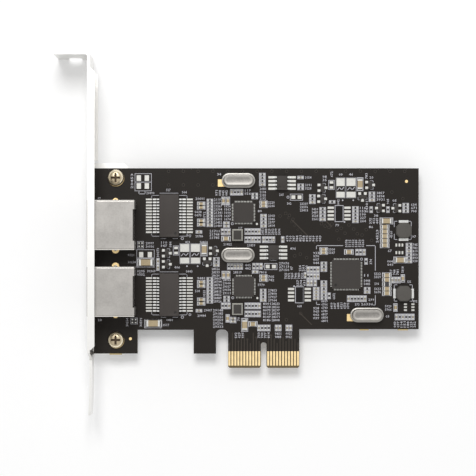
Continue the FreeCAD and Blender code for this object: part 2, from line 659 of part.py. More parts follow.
def flat_chip(label, x, y, side, inset):
    """Leadless package with sawn sides and a pin-one dimple."""
    body = new_body(label, x, y)
    outline = new_sketch(body, "XY_Plane")
    add_rectangle(outline, "-%s / 2" % side, "-%s / 2" % side, "%s / 2" % side, "%s / 2" % side)
    pad(body, outline, "chip_height")
    dimple = new_sketch(body, "XY_Plane", "chip_height")
    corner = "%s - %s / 2" % (inset, side)
    add_octagon(dimple, corner, corner, "dimple_width")
    pocket(body, dimple, "dimple_depth")


# ---------------------------------------------------------------- crystals and inductors

def crystal_can(label, x, y):
    """Drawn metal can with a seam flange round its foot."""
    body = new_body(label, x, y, "crystal_base_height")
    flange = new_sketch(body, "XY_Plane")
    add_round_ended(flange, "crystal_length", "crystal_width")
    pad(body, flange, "flange_height")
    can = new_sketch(body, "XY_Plane", "flange_height")
    add_round_ended(can, "can_length", "can_width")
    pad(body, can, "can_height")
    top = "flange_height + can_height"
    dress(body, "Chamfer", "can_bevel", lambda edge: abs(edge.BoundBox.ZMin - value_of(top)) < 1e-6
          and abs(edge.BoundBox.ZMax - value_of(top)) < 1e-6)


def crystal_base(x, y):
    """Insulating foot between the can and the board."""
    return box(x + " - crystal_length / 2 + base_inset", y + " - crystal_width / 2 + base_inset", "0",
               "crystal_length - base_inset - base_inset", "crystal_width - base_inset - base_inset",
               "crystal_base_height")


def power_inductor(label, x, y):
    """Shielded coil: an eight-sided ferrite block with eased edges."""
    body = new_body(label, x, y)
    outline = new_sketch(body, "XY_Plane")
    far, near = "coil_side / 2", "coil_corner - coil_side / 2"
    flat, back = "coil_side / 2 - coil_corner", "-coil_side / 2"
    add_polygon(outline, [
        (far, near), (far, flat), (flat, far), (near, far),
        (back, flat), (back, near), (near, back), (flat, back)])
    pad(body, outline, "coil_height")
    dress(body, "Chamfer", "coil_bevel", lambda edge: abs(
        edge.BoundBox.ZMin - value_of("coil_height")) < 1e-6)


def inductor_terminals():
    """Soldered end clips: across the upper coil's ends, and at the lower coil's sides."""
    clips = []
    for start in (" + coil_side / 2", " - coil_side / 2 - clip_reach"):
        clips.append(box("coil_x - clip_width / 2", "coil_upper_y" + start, "0",
                         "clip_width", "clip_reach", "clip_height"))
        clips.append(box("coil_x" + start, "coil_lower_y - clip_width / 2", "0",
                         "clip_reach", "clip_width", "clip_height"))
    group("inductor_terminals", clips)


def moulded_inductor(label, x, y):
    """Pressed-powder inductor with bevelled top edges."""
    body = new_body(label, x, y)
    outline = new_sketch(body, "XY_Plane")
    add_rectangle(outline, "-block_width / 2", "-block_length / 2",
                  "block_width / 2", "block_length / 2")
    pad(body, outline, "block_height")
    dress(body, "Chamfer", "block_bevel", lambda edge: abs(
        edge.BoundBox.ZMin - value_of("block_height")) < 1e-6)


# ---------------------------------------------------------------- small transistors

# Centre of each three-lead package and the side on which its single lead points.
TRANSISTORS = [
    (19.7, 60.45, "right"), (19.6, 56.75, "right"), (35.7, 61.4, "right"), (33.15, 57.4, "down"),
    (39.0, 53.65, "left"), (44.5, 53.6, "left"), (-16.7, 39.3, "right"), (-18.95, 35.5, "down"),
    (-32.5, 38.5, "right"), (-32.5, 34.8, "right"),
]


def transistors():
    """Bodies and leads of the three-lead packages, as two groups of solids."""
    bodies, leads = [], []
    for x, y, side in TRANSISTORS:
        upright = side in ("left", "right")
        sizes = ["transistor_width", "transistor_length"]
        width, length = sizes if upright else reversed(sizes)
        bodies.append(box("%s - %s / 2" % (x, width), "%s - %s / 2" % (y, length),
                          "transistor_under", width, length,
                          "transistor_height - transistor_under"))
        single = 1 if side in ("right", "up") else -1
        for along, across in (("", single), (" + transistor_pitch", -single),
                              (" - transistor_pitch", -single)):
            leads.append(transistor_lead(x, y, upright, along, across))
    group("transistors", bodies)
    group("transistor_leads", leads)


def transistor_lead(x, y, upright, along, across):
    """Flat foot against a long side of the package."""
    start = " + transistor_width / 2" if across > 0 else " - transistor_width / 2 - transistor_reach"
    middle = along + " - transistor_lead / 2"
    if upright:
        return box("%s%s" % (x, start), "%s%s" % (y, middle), "0",
                   "transistor_reach", "transistor_lead", "transistor_under + lead_gauge")
    return box("%s%s" % (x, middle), "%s%s" % (y, start), "0",
               "transistor_lead", "transistor_reach", "transistor_under + lead_gauge")


# ---------------------------------------------------------------- chip components

# Length, width and height of each chip size.
CHIPS = {"0402": (1.0, 0.5, 0.4), "0603": (1.6, 0.8, 0.6), "0805": (2.0, 1.25, 0.9),
         "1206": (3.2, 1.6, 1.1), "1808": (4.5, 2.0, 1.5)}

# Banks of chips in line. A column runs down the card with its chips lying across it, and
# a row runs away from the bracket with its chips standing up the card. Each letter is a
# chip, from the first one on: R a resistor, C a ceramic capacitor and B a ferrite bead.
BANKS = [
    # direction, size, first centre, spacing, pieces
    ("column", "0402", (-0.45, 64.9), 1.12, "RRRC"),
    ("column", "0402", (-18.04, 56.2), 1.04, "RRRRBRRRC"),
    ("column", "0402", (-0.05, 51.1), 1.16, "CRRC"),
    ("column", "0402", (-12.5, 48.6), 1.0, "CC"),
    ("column", "0402", (16.33, 57.7), 1.06, "RRC"),
    ("column", "0402", (19.78, 53.4), 1.19, "RRRC"),
    ("column", "0402", (30.76, 53.7), 1.13, "RRRRC"),
    ("column", "0402", (36.31, 58.6), 1.15, "RRC"),
    ("column", "0402", (47.65, 54.8), 1.12, "RRR"),
    ("column", "0402", (48.74, 41.4), 1.14, "RRCRRC"),
    ("column", "0402", (-15.89, 36.6), 1.07, "RRC"),
    ("column", "0402", (-18.07, 29.9), 1.1, "RRRRBRRR"),
    ("column", "0402", (-0.18, 26.0), 1.09, "RRRC"),
    ("column", "0402", (20.18, 35.1), 1.15, "RRC"),
    ("column", "0402", (17.63, 26.6), 1.09, "CCCC"),
    ("column", "0402", (20.18, 28.8), 1.1, "RCRCRR"),
    ("column", "0402", (34.71, 26.6), 1.14, "RC"),
    ("column", "0402", (12.4, 61.3), 1.1, "RR"),
    ("column", "0402", (-10.27, 16.6), 1.0, "CC"),
    ("row", "0402", (-10.75, 58.98), 1.11, "CRRC"),
    ("row", "0402", (-5.87, 45.76), 1.09, "RRRRC"),
    ("row", "0402", (-5.9, 43.04), 1.1, "RRCRR"),
    ("row", "0402", (0.0, 43.04), 1.09, "CRRC"),
    ("row", "0402", (-13.8, 45.69), 1.09, "RRC"),
    ("row", "0402", (-3.3, 34.13), 1.21, "RRC"),
    ("row", "0402", (-5.87, 20.84), 1.1, "RRRRC"),
    ("row", "0402", (-5.87, 18.14), 1.1, "RRRRC"),
    ("row", "0402", (28.5, 23.24), 1.1, "CRRRRC"),
    ("row", "0402", (44.55, 17.11), 1.1, "CRCRRC"),
    ("row", "0402", (-1.6, 13.42), 1.1, "CRRR"),
    ("row", "0402", (4.3, 13.42), 1.1, "CC"),
    ("row", "0402", (7.9, 13.42), 1.1, "CC"),
    ("row", "0402", (31.3, 38.84), 1.2, "RRC"),
    ("row", "0402", (14.9, 33.0), 1.1, "CRRC"),
    ("row", "0402", (14.9, 30.7), 1.1, "RRCC"),
    ("row", "0402", (14.9, 28.5), 1.1, "CC"),
    ("row", "0402", (43.2, 29.5), 1.1, "CCC"),
    ("column", "0402", (12.37, 63.91), 1.0, "C"),
    ("column", "0402", (22.97, 55.69), 1.0, "R"),
    ("column", "0402", (-21.73, 45.64), 1.0, "C"),
    ("column", "0402", (-21.71, 19.21), 1.0, "C"),
    ("column", "0402", (-2.85, 32.23), 1.0, "C"),
    ("row", "0402", (6.39, 43.1), 1.0, "C"),
    ("row", "0402", (41.68, 53.12), 1.0, "R"),
    ("row", "0402", (36.06, 53.12), 1.0, "R"),
    ("row", "0402", (34.33, 35.76), 1.0, "R"),
    ("row", "0402", (-35.47, 35.8), 1.0, "C"),
    ("row", "0402", (-35.47, 33.7), 1.0, "C"),
    ("column", "0603", (-20.97, 55.1), 1.25, "CC"),
    ("column", "0603", (-20.97, 49.4), 1.25, "CC"),
    ("column", "0603", (-20.97, 28.8), 1.25, "CC"),
    ("column", "0603", (-20.97, 22.9), 1.25, "CC"),
    ("row", "0603", (-13.5, 56.06), 1.5, "CC"),
    ("row", "0603", (-13.4, 31.17), 1.5, "CC"),
    ("column", "0603", (-0.08, 55.45), 1.05, "CC"),
    ("column", "0603", (-0.1, 30.65), 1.05, "CC"),
    ("column", "0603", (20.08, 39.75), 1.05, "CC"),
    ("row", "0603", (46.69, 30.05), 1.0, "C"),
    ("row", "0603", (44.2, 20.3), 1.0, "C"),
    ("row", "0603", (-12.08, 16.64), 1.0, "C"),
    ("column", "0805", (-12.65, 43.39), 1.0, "C"),
    ("column", "0805", (28.57, 38.91), 1.0, "C"),
    ("column", "0805", (-3.64, 14.75), 1.0, "C"),
    ("column", "0805", (40.59, 47.35), 1.55, "CCCCC"),
    ("column", "0805", (41.31, 31.1), 1.5, "CCRCC"),
    ("column", "1206", (41.16, 49.31), 1.0, "C"),
    ("column", "1206", (45.81, 36.22), 1.0, "C"),
    ("row", "1206", (-6.39, 14.46), 1.0, "C"),
    ("row", "1206", (32.3, 61.66), 1.0, "C"),
    ("row", "1206", (-19.95, 39.77), 1.0, "C"),
    ("row", "1808", (-39.55, 35.4), 1.0, "C"),
    ("row", "1808", (-37.05, 15.0), 1.0, "C"),
]

NODES_BY_KIND = {
    ("R", "0402"): "chip_resistors", ("C", "0402"): "chip_capacitors", ("B", "0402"): "ferrite_beads",
    ("C", "0603"): "filter_capacitors", ("C", "0805"): "supply_capacitors",
    ("R", "0805"): "sense_resistor", ("C", "1206"): "bulk_capacitors",
    ("C", "1808"): "isolation_capacitors",
}


def chip(size, x, y, lies_across):
    """Body of one chip, centred on x, y."""
    length, width, height = CHIPS[size]
    if not lies_across:
        length, width = width, length
    return box("%.3f" % (x - length / 2), "%.3f" % (y - width / 2), "0",
               "%s" % length, "%s" % width, "%s" % height)


def chip_banks():
    """Lay out every bank, and gather the chips of one kind in one node."""
    nodes = {}
    for direction, size, (x, y), spacing, pieces in BANKS:
        column = direction == "column"
        for kind in pieces:
            label = NODES_BY_KIND[kind, size]
            nodes.setdefault(label, []).append(chip(size, x, y, column))
            x, y = (x, y - spacing) if column else (x + spacing, y)
    for label, members in nodes.items():
        group(label, members)


# ---------------------------------------------------------------- build the card

circuit_board()
edge_contacts()
io_bracket()
bracket_screws()
for which in ("upper", "lower"):
    port_shield(which)
    port_insert(which)
    port_contacts(which)
    transformer(which)
    memory_chip(which)
    flat_chip("lan_controller_" + which, "controller_%s_x" % which, "controller_%s_y" % which,
              "controller_side", "dimple_inset")
port_lamps()
solder_joints()
flat_chip("switch_chip", "switch_x", "switch_y", "switch_side", "switch_inset")
crystal_feet = []
for which in ("upper", "middle", "lower"):
    place = ("crystal_%s_x" % which, "crystal_%s_y" % which)
    crystal_can("crystal_can_" + which, *place)
    crystal_feet.append(crystal_base(*place))
group("crystal_bases", crystal_feet)
for which in ("upper", "lower"):
    power_inductor("power_inductor_" + which, "coil_x", "coil_%s_y" % which)
    moulded_inductor("moulded_inductor_" + which, "block_x", "block_%s_y" % which)
inductor_terminals()
transistors()
chip_banks()
doc.recompute()

# ---------------------------------------------------------------- check and write

failed = [thing.Name for thing in doc.Objects if {"Invalid", "Error"} & set(thing.State)]
if failed:
    raise RuntimeError("features that failed: " + ", ".join(failed))

os.makedirs("parts", exist_ok=True)
for thing in doc.Objects:
    if thing.TypeId not in ("PartDesign::Body", "Part::Compound"):
        continue
    if thing.Shape.isNull() or not thing.Shape.isValid():
        raise RuntimeError(thing.Label + " has no valid shape")
    thing.Shape.exportStep("parts/%s.step" % thing.Label)
    print("%-26s %3d solids, %9.2f mm3" % (thing.Label, len(thing.Shape.Solids), thing.Shape.Volume))
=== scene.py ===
# %% [markdown]
# A two-port network card
# The card comes as a frame of finished solids: the board, the bracket, the jacks and every
# package soldered to the board. This lesson dresses it. Most of what the eye reads as
# "circuit board" is thin: copper under the mask, white print, bare pads, and the bright
# solder at the ends of tiny parts. All of that is modelled here, with a finish for each solid.

# %% Load the frame
import json
import math
import bmesh
import bpy
from mathutils import Matrix, Vector


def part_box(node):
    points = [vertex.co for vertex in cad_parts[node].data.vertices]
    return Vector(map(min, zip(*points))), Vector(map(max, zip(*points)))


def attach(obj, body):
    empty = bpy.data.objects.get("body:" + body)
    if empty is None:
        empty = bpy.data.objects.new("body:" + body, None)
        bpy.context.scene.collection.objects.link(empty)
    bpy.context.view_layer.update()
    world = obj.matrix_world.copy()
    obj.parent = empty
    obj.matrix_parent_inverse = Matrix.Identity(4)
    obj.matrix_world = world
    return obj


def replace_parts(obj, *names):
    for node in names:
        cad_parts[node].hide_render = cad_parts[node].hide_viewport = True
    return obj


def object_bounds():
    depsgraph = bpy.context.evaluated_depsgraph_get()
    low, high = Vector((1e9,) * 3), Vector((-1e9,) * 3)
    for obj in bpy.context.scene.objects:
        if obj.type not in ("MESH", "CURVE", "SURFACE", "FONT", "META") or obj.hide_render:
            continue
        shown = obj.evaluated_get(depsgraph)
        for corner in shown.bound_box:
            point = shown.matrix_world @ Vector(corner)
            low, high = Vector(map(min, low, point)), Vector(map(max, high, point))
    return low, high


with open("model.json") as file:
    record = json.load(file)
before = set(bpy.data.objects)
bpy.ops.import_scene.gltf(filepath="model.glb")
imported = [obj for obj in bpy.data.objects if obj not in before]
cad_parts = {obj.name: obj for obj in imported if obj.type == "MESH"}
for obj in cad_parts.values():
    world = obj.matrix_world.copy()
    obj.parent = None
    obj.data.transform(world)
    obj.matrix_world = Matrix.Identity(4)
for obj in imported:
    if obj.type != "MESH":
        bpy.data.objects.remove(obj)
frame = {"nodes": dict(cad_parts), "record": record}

scene = bpy.context.scene
cad_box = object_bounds()
MM = 0.001
card_low, card_high = (corner / MM for corner in cad_box)
print("card size in mm:", [round(size, 1) for size in card_high - card_low])

# %% [markdown]
# Two short helpers
# Every mesh here starts as a bmesh and ends as an object, and every material does its sums
# with Math nodes. Both take several lines each time, so both get a function.

# %% Objects and sums


def mesh_object(name, bm):
    """Turn a bmesh into an object of the scene."""
    mesh = bpy.data.meshes.new(name)
    bm.to_mesh(mesh)
    bm.free()
    made = bpy.data.objects.new(name, mesh)
    scene.collection.objects.link(made)
    return made


def math_node(tree, operation, *given):
    """Result of a Math node that is fed with sockets or plain numbers."""
    node = tree.nodes.new("ShaderNodeMath")
    node.operation = operation
    for socket, value in zip(node.inputs, given):
        if isinstance(value, (int, float)):
            socket.default_value = value
        else:
            tree.links.new(value, socket)
    return node.outputs[0]


# %% [markdown]
# Camera
# The card is seen from straight above, like a part laid on a copy stand. A long lens far away
# keeps the bracket's edges almost parallel, while a real height still lets the tall jacks lean
# outwards a little. The aim is the middle of the card's own box, moved by a hair.

# %% Camera
CAMERA_HEIGHT = 700
CAMERA_LENS = 157.8
AIM_SHIFT = Vector((0.08, -1.3, 0))

aim = (card_low + card_high) / 2 + AIM_SHIFT
camera = bpy.data.objects.new("copy_stand_camera", bpy.data.cameras.new("copy_stand_camera"))
camera.data.lens = CAMERA_LENS
camera.data.sensor_width = 36
camera.data.clip_start = 0.01
camera.location = (aim.x * MM, aim.y * MM, CAMERA_HEIGHT * MM)
scene.collection.objects.link(camera)
scene.camera = camera
scene.view_settings.view_transform = "Standard"
print("camera looks down at", [round(value, 2) for value in aim.xy])

# %% [markdown]
# Light
# A surface that faces up should show its colour about as it is written. An even dome gives
# most of the light, and one soft box past the top of the card gives the short shadows below
# its edges. Camera and mirror rays meet a dome of strength 1, which is plain white, so bare
# metal shows that white too.

# %% Dome and soft box
DOME_LIGHT = 0.52
BOX_WATTS = 4.5
BOX_SIDE = 0.34
BOX_PLACE = Vector((-0.07, 0.48, 0.9))


def white_rays(tree):
    """Factor that is 1 for camera, mirror and transmission rays and 0 for the rest."""
    path = tree.nodes.new("ShaderNodeLightPath")
    seen = math_node(tree, "MAXIMUM", path.outputs["Is Camera Ray"], path.outputs["Is Glossy Ray"])
    return math_node(tree, "MAXIMUM", seen, path.outputs["Is Transmission Ray"])


world = bpy.data.worlds.new("studio_dome")
world.use_nodes = True
scene.world = world
strength = world.node_tree.nodes.new("ShaderNodeMapRange")
strength.inputs["To Min"].default_value = DOME_LIGHT
strength.inputs["To Max"].default_value = 1.0
world.node_tree.links.new(white_rays(world.node_tree), strength.inputs["Value"])
background = world.node_tree.nodes["Background"]
background.inputs["Color"].default_value = (1, 1, 1, 1)
world.node_tree.links.new(strength.outputs["Result"], background.inputs["Strength"])

soft_box = bpy.data.objects.new("soft_box", bpy.data.lights.new("soft_box", "AREA"))
soft_box.data.energy = BOX_WATTS
soft_box.data.size = BOX_SIDE
soft_box.location = BOX_PLACE
soft_box.rotation_euler = (aim * MM - BOX_PLACE).to_track_quat("-Z", "Y").to_euler()
scene.collection.objects.link(soft_box)
print("soft box at", list(BOX_PLACE))

# %% [markdown]
# Floor
# The floor is a plain pale sheet. A little light of its own, seen only by the camera and by
# mirrors, lifts the open floor to white, and the card's shadow stays because it is missing
# light and not paint.

# %% Floor
FLOOR_SIDE = 4.0
FLOOR_GLOW = 0.16

floor_bm = bmesh.new()
bmesh.ops.create_grid(floor_bm, x_segments=1, y_segments=1, size=FLOOR_SIDE / 2,
                      matrix=Matrix.Translation((0, 0, cad_box[0].z)))
floor = mesh_object("floor", floor_bm)

paper = bpy.data.materials.new("pale_floor")
paper.use_nodes = True
tree = paper.node_tree
tree.nodes.remove(tree.nodes["Principled BSDF"])
matt = tree.nodes.new("ShaderNodeBsdfDiffuse")
matt.inputs["Color"].default_value = (0.95, 0.95, 0.95, 1)
glow = tree.nodes.new("ShaderNodeEmission")
tree.links.new(math_node(tree, "MULTIPLY", white_rays(tree), FLOOR_GLOW), glow.inputs["Strength"])
both = tree.nodes.new("ShaderNodeAddShader")
tree.links.new(matt.outputs[0], both.inputs[0])
tree.links.new(glow.outputs[0], both.inputs[1])
tree.links.new(both.outputs[0], tree.nodes["Material Output"].inputs["Surface"])
floor.data.materials.append(paper)
print("floor lies at", round(cad_box[0].z / MM, 2), "mm")

# %% [markdown]
# Uneven surfaces
# No real surface is one flat colour. Mask, plating and moulding compound are cloudy over
# millimetres and grainy over hundredths. One group makes both kinds of unevenness for every
# finish, and each material says how much of each it has.

# %% Shared group: clouds and grain


def group_socket(group, name, way, kind, value=None):
    socket = group.interface.new_socket(name=name, in_out=way, socket_type=kind)
    if value is not None:
        socket.default_value = value


def noise_level(group, scale_socket, amount_socket, coordinates, detail):
    """Noise centred on 0, as strong as the amount says."""
    noise = group.nodes.new("ShaderNodeTexNoise")
    noise.inputs["Detail"].default_value = detail
    group.links.new(coordinates, noise.inputs["Vector"])
    group.links.new(scale_socket, noise.inputs["Scale"])
    centred = math_node(group, "SUBTRACT", noise.outputs["Fac"], 0.5)
    return math_node(group, "MULTIPLY", centred, amount_socket)


def make_uneven_group():
    group = bpy.data.node_groups.new("uneven_surface", "ShaderNodeTree")
    group_socket(group, "Color", "INPUT", "NodeSocketColor", (0.5, 0.5, 0.5, 1))
    for name, value in (("Cloud Scale", 300.0), ("Cloud Amount", 0.2),
                        ("Grain Scale", 5000.0), ("Grain Amount", 0.2)):
        group_socket(group, name, "INPUT", "NodeSocketFloat", value)
    group_socket(group, "Color", "OUTPUT", "NodeSocketColor")
    group_socket(group, "Level", "OUTPUT", "NodeSocketFloat")
    given = group.nodes.new("NodeGroupInput")
    result = group.nodes.new("NodeGroupOutput")
    where = group.nodes.new("ShaderNodeTexCoord").outputs["Object"]
    clouds = noise_level(group, given.outputs["Cloud Scale"], given.outputs["Cloud Amount"], where, 3)
    grain = noise_level(group, given.outputs["Grain Scale"], given.outputs["Grain Amount"], where, 1)
    total = math_node(group, "ADD", clouds, grain)
    shaded = group.nodes.new("ShaderNodeVectorMath")
    shaded.operation = "SCALE"
    group.links.new(given.outputs["Color"], shaded.inputs[0])
    group.links.new(math_node(group, "ADD", total, 1.0), shaded.inputs["Scale"])
    group.links.new(shaded.outputs[0], result.inputs["Color"])
    group.links.new(total, result.inputs["Level"])
    return group


UNEVEN = make_uneven_group()
print("group", UNEVEN.name, "has", len(UNEVEN.nodes), "nodes")

# %% [markdown]
# Finishes
# Colours are written as the numbers a paint program shows and turned to linear light here.
# Metals take their colour from the dome they mirror; plastics and epoxy keep a low specular
# level, because a white dome would otherwise grey every dark part.

# %% Functions for finishes


def paint(red, green, blue):
    """Linear colour from 0 to 255 screen values."""
    linear = [((v / 255 + 0.055) / 1.055) ** 2.4 for v in (red, green, blue)]
    return (*linear, 1)


def finish(name, colour, roughness, metallic=0.0, clouds=(300, 0.2), grain=(5000, 0.2),
           relief=0.004, specular=0.5, rough_swing=0.3):
    """Principled material whose colour, roughness and relief follow the uneven group."""
    material = bpy.data.materials.new(name)
    material.use_nodes = True
    tree = material.node_tree
    shader = tree.nodes["Principled BSDF"]
    shader.inputs["Metallic"].default_value = metallic
    shader.inputs["Specular IOR Level"].default_value = specular
    uneven = tree.nodes.new("ShaderNodeGroup")
    uneven.node_tree = UNEVEN
    uneven.name = "uneven"
    uneven.inputs["Color"].default_value = colour
    uneven.inputs["Cloud Scale"].default_value = clouds[0]
    uneven.inputs["Cloud Amount"].default_value = clouds[1]
    uneven.inputs["Grain Scale"].default_value = grain[0]
    uneven.inputs["Grain Amount"].default_value = grain[1]
    tree.links.new(uneven.outputs["Color"], shader.inputs["Base Color"])
    rough = math_node(tree, "MULTIPLY_ADD", uneven.outputs["Level"], rough_swing, roughness)
    tree.links.new(rough, shader.inputs["Roughness"])
    bump = tree.nodes.new("ShaderNodeBump")
    bump.inputs["Distance"].default_value = relief * MM
    tree.links.new(uneven.outputs["Level"], bump.inputs["Height"])
    tree.links.new(bump.outputs[0], shader.inputs["Normal"])
    return material


def over(material, mask, colour):
    """Lay a second colour over a finish where a mask is 1."""
    tree = material.node_tree
    mix = tree.nodes.new("ShaderNodeMix")
    mix.data_type = "RGBA"
    mix.inputs["B"].default_value = colour
    tree.links.new(tree.nodes["uneven"].outputs["Color"], mix.inputs["A"])
    tree.links.new(mask, mix.inputs["Factor"])
    tree.links.new(mix.outputs["Result"], tree.nodes["Principled BSDF"].inputs["Base Color"])


def facing_up(tree):
    """Upward part of a face's direction: 1 on a face that looks straight up."""
    parts = tree.nodes.new("ShaderNodeSeparateXYZ")
    geometry = tree.nodes.new("ShaderNodeNewGeometry")
    tree.links.new(geometry.outputs["True Normal"], parts.inputs[0])
    return parts.outputs["Z"]


# %% The card's finishes
FINISHES = {
    "solder_mask": finish("black_mask", paint(29, 24, 19), 0.42, clouds=(60, 0.5),
                          grain=(2500, 0.35), specular=0.18),
    "gold": finish("contact_gold", paint(238, 212, 160), 0.3, 1.0, clouds=(500, 0.35)),
    "nickel_plate": finish("bracket_nickel", paint(226, 225, 222), 0.3, 1.0, clouds=(150, 0.08),
                           grain=(2600, 0.1)),
    "screw_metal": finish("screw_nickel", paint(180, 166, 140), 0.28, 1.0),
    "tin_shield": finish("shield_tin", paint(157, 154, 150), 0.36, 1.0, clouds=(260, 0.35),
                         grain=(1800, 0.2)),
    "jack_plastic": finish("jack_plastic", paint(38, 38, 38), 0.5),
    "lamp_plastic": finish("lamp_plastic", paint(214, 214, 200), 0.25),
    "solder": finish("solder", paint(202, 202, 200), 0.3, 1.0, clouds=(900, 0.35)),
    "transformer_epoxy": finish("transformer_epoxy", paint(64, 59, 56), 0.6, specular=0.3,
                                clouds=(250, 0.3)),
    "chip_epoxy": finish("chip_epoxy", paint(58, 54, 51), 0.62, specular=0.3,
                         clouds=(250, 0.3)),
    "can_metal": finish("can_steel", paint(152, 149, 144), 0.42, 1.0, clouds=(400, 0.15),
                        grain=(2200, 0.25)),
    "ferrite": finish("ferrite", paint(88, 85, 81), 0.7, specular=0.3, clouds=(600, 0.3)),
    "resistor_film": finish("resistor_film", paint(40, 37, 38), 0.45),
    "ceramic_grey": finish("ceramic_grey", paint(164, 155, 136), 0.5, clouds=(900, 0.3)),
    "ceramic_tan": finish("ceramic_tan", paint(178, 160, 126), 0.5, clouds=(900, 0.3)),
}

# %% [markdown]
# Bare laminate
# The mask covers only the two faces of the board. Along the sawn edges the woven glass and
# resin show, so the edge colour is chosen by the direction a face looks in.

# %% Sawn edges of the board
FLAT_FACE = 0.95

mask_tree = FINISHES["solder_mask"].node_tree
flatness = math_node(mask_tree, "ABSOLUTE", facing_up(mask_tree))
sawn = math_node(mask_tree, "LESS_THAN", flatness, FLAT_FACE)
over(FINISHES["solder_mask"], sawn, paint(112, 98, 70))

# %% [markdown]
# Pressed powder
# The small moulded inductors are pressed from dark powder, and their bevelled top edge gets a
# painted highlight. The bevel is the only slanted face, so the colour again follows the facing.

# %% Painted highlight on the bevel of pressed powder
SLANT = 0.6
SLANT_ROOM = 0.36

highlighted_powder = finish("pressed_powder_bevel_highlight", paint(58, 55, 52), 0.6, clouds=(700, 0.3), specular=0.3)
# Painted highlight: the slanted bevel is painted light grey.
bevel_highlight_mask = math_node(highlighted_powder.node_tree, "COMPARE", facing_up(highlighted_powder.node_tree), SLANT, SLANT_ROOM)
over(highlighted_powder, bevel_highlight_mask, paint(172, 170, 162))

# %% Hand every solid its finish
SLOT_OF = {part["node"]: part["material_slot"] for part in frame["record"]["subparts"]}
for node, solid in frame["nodes"].items():
    for material_slot in solid.material_slots:
        material_slot.material = FINISHES[SLOT_OF[node]]
print(len(SLOT_OF), "solids have a finish")

# %% [markdown]
# Tools for new pieces
# Everything below is modelled in millimetres, because that is how a board is drawn, and turned
# to metres once, when the piece is finished. Each helper starts from one bmesh operator: a
# cube for pads and lines, a spun profile for rings, a cone for discs.

# %% Helpers in millimetres


def limits(node):
    """Lowest and highest corner of a solid, in millimetres."""
    low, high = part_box(node)
    return low / MM, high / MM


def middle(node):
    low, high = limits(node)
    return (low + high) / 2


def middle_of(corners):
    return (corners[0] + corners[1]) / 2


def slab(bm, x0, y0, x1, y1, z0, z1):
    """Flat block between two corners."""
    size = (x1 - x0, y1 - y0, z1 - z0, 1)
    centre = ((x0 + x1) / 2, (y0 + y1) / 2, (z0 + z1) / 2)
    return bmesh.ops.create_cube(
        bm, size=1, matrix=Matrix.Translation(centre) @ Matrix.Diagonal(size))["verts"]


def patch(bm, x, y, width, height, top, bottom=0.0):
    """Flat block centred on a place."""
    return slab(bm, x - width / 2, y - height / 2, x + width / 2, y + height / 2, bottom, top)


def disc(bm, x, y, radius, top, bottom=0.0, sides=20):
    bmesh.ops.create_cone(
        bm, cap_ends=True, segments=sides, radius1=radius, radius2=radius, depth=top - bottom,
        matrix=Matrix.Translation((x, y, (top + bottom) / 2)))


def spun(bm, x, y, profile, steps, closed=True):
    """Spin a profile of radii and heights once round an upright axis."""
    verts = [bm.verts.new((x + radius, y, z)) for radius, z in profile]
    ends = verts[1:] + verts[:1] if closed else verts[1:]
    edges = [bm.edges.new(pair) for pair in zip(verts, ends)]
    bmesh.ops.spin(bm, geom=verts + edges, cent=(x, y, 0), axis=(0, 0, 1), dvec=(0, 0, 0),
                   angle=2 * math.pi, steps=steps, use_merge=True)


def ring(bm, x, y, outer, inner, top, bottom=0.0, sides=28):
    """Flat ring, spun from its four corners."""
    spun(bm, x, y, [(inner, bottom), (outer, bottom), (outer, top), (inner, top)], sides)


def outline(bm, x0, y0, x1, y1, line, top, bottom=0.0):
    """Rectangle drawn with a line of even width, outside the corners given."""
    slab(bm, x0 - line, y0 - line, x1 + line, y0, bottom, top)
    slab(bm, x0 - line, y1, x1 + line, y1 + line, bottom, top)
    slab(bm, x0 - line, y0, x0, y1, bottom, top)
    slab(bm, x1, y0, x1 + line, y1, bottom, top)


def stroke(bm, start, end, line, top, bottom=0.0):
    """Straight line of even width between two places on the board."""
    start, end = Vector(start), Vector(end)
    run = end - start
    turn = Matrix.Rotation(math.atan2(run.y, run.x), 4, "Z")
    centre = Matrix.Translation((*(start + end) / 2, (top + bottom) / 2))
    size = Matrix.Diagonal((run.length + line, line, top - bottom, 1))
    bmesh.ops.create_cube(bm, size=1, matrix=centre @ turn @ size)


def line_through(bm, points, line, top):
    """Strokes from each point to the next."""
    for start, end in zip(points, points[1:]):
        stroke(bm, start, end, line, top)


def ease_block(bm, verts, radius):
    """Small flat bevel on every edge of a block."""
    edges = dict.fromkeys(edge for vert in verts for edge in vert.link_edges)
    bmesh.ops.bevel(bm, geom=list(edges), offset=radius, offset_type="OFFSET", affect="EDGES",
                    segments=1, profile=0.5, material=-1)


def new_piece(name, bm, material, smooth=None):
    """Finish a bmesh: normals out, millimetres to metres, and onto the card."""
    bmesh.ops.recalc_face_normals(bm, faces=bm.faces)
    bmesh.ops.scale(bm, vec=(MM, MM, MM), verts=bm.verts)
    piece = mesh_object(name, bm)
    if smooth:
        piece.data.shade_smooth()
        piece.data.set_sharp_from_angle(angle=math.radians(smooth))
    piece.data.materials.append(material)
    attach(piece, "root")
    print(name, "has", len(piece.data.polygons), "faces")
    return piece


# %% [markdown]
# Layers on the board
# A board is a stack: copper traces under the mask stand up a few hundredths, print lies on
# the mask, bare pads stand a little higher, and solder higher still. Each layer gets a height
# of its own here, so no two of them share a plane.

# %% Heights and finishes of the layers
TRACE_TOP = 0.012
VIA_TOP = 0.018
PRINT_TOP = 0.026
PAD_TOP = 0.045
FINE_LINE = 0.16

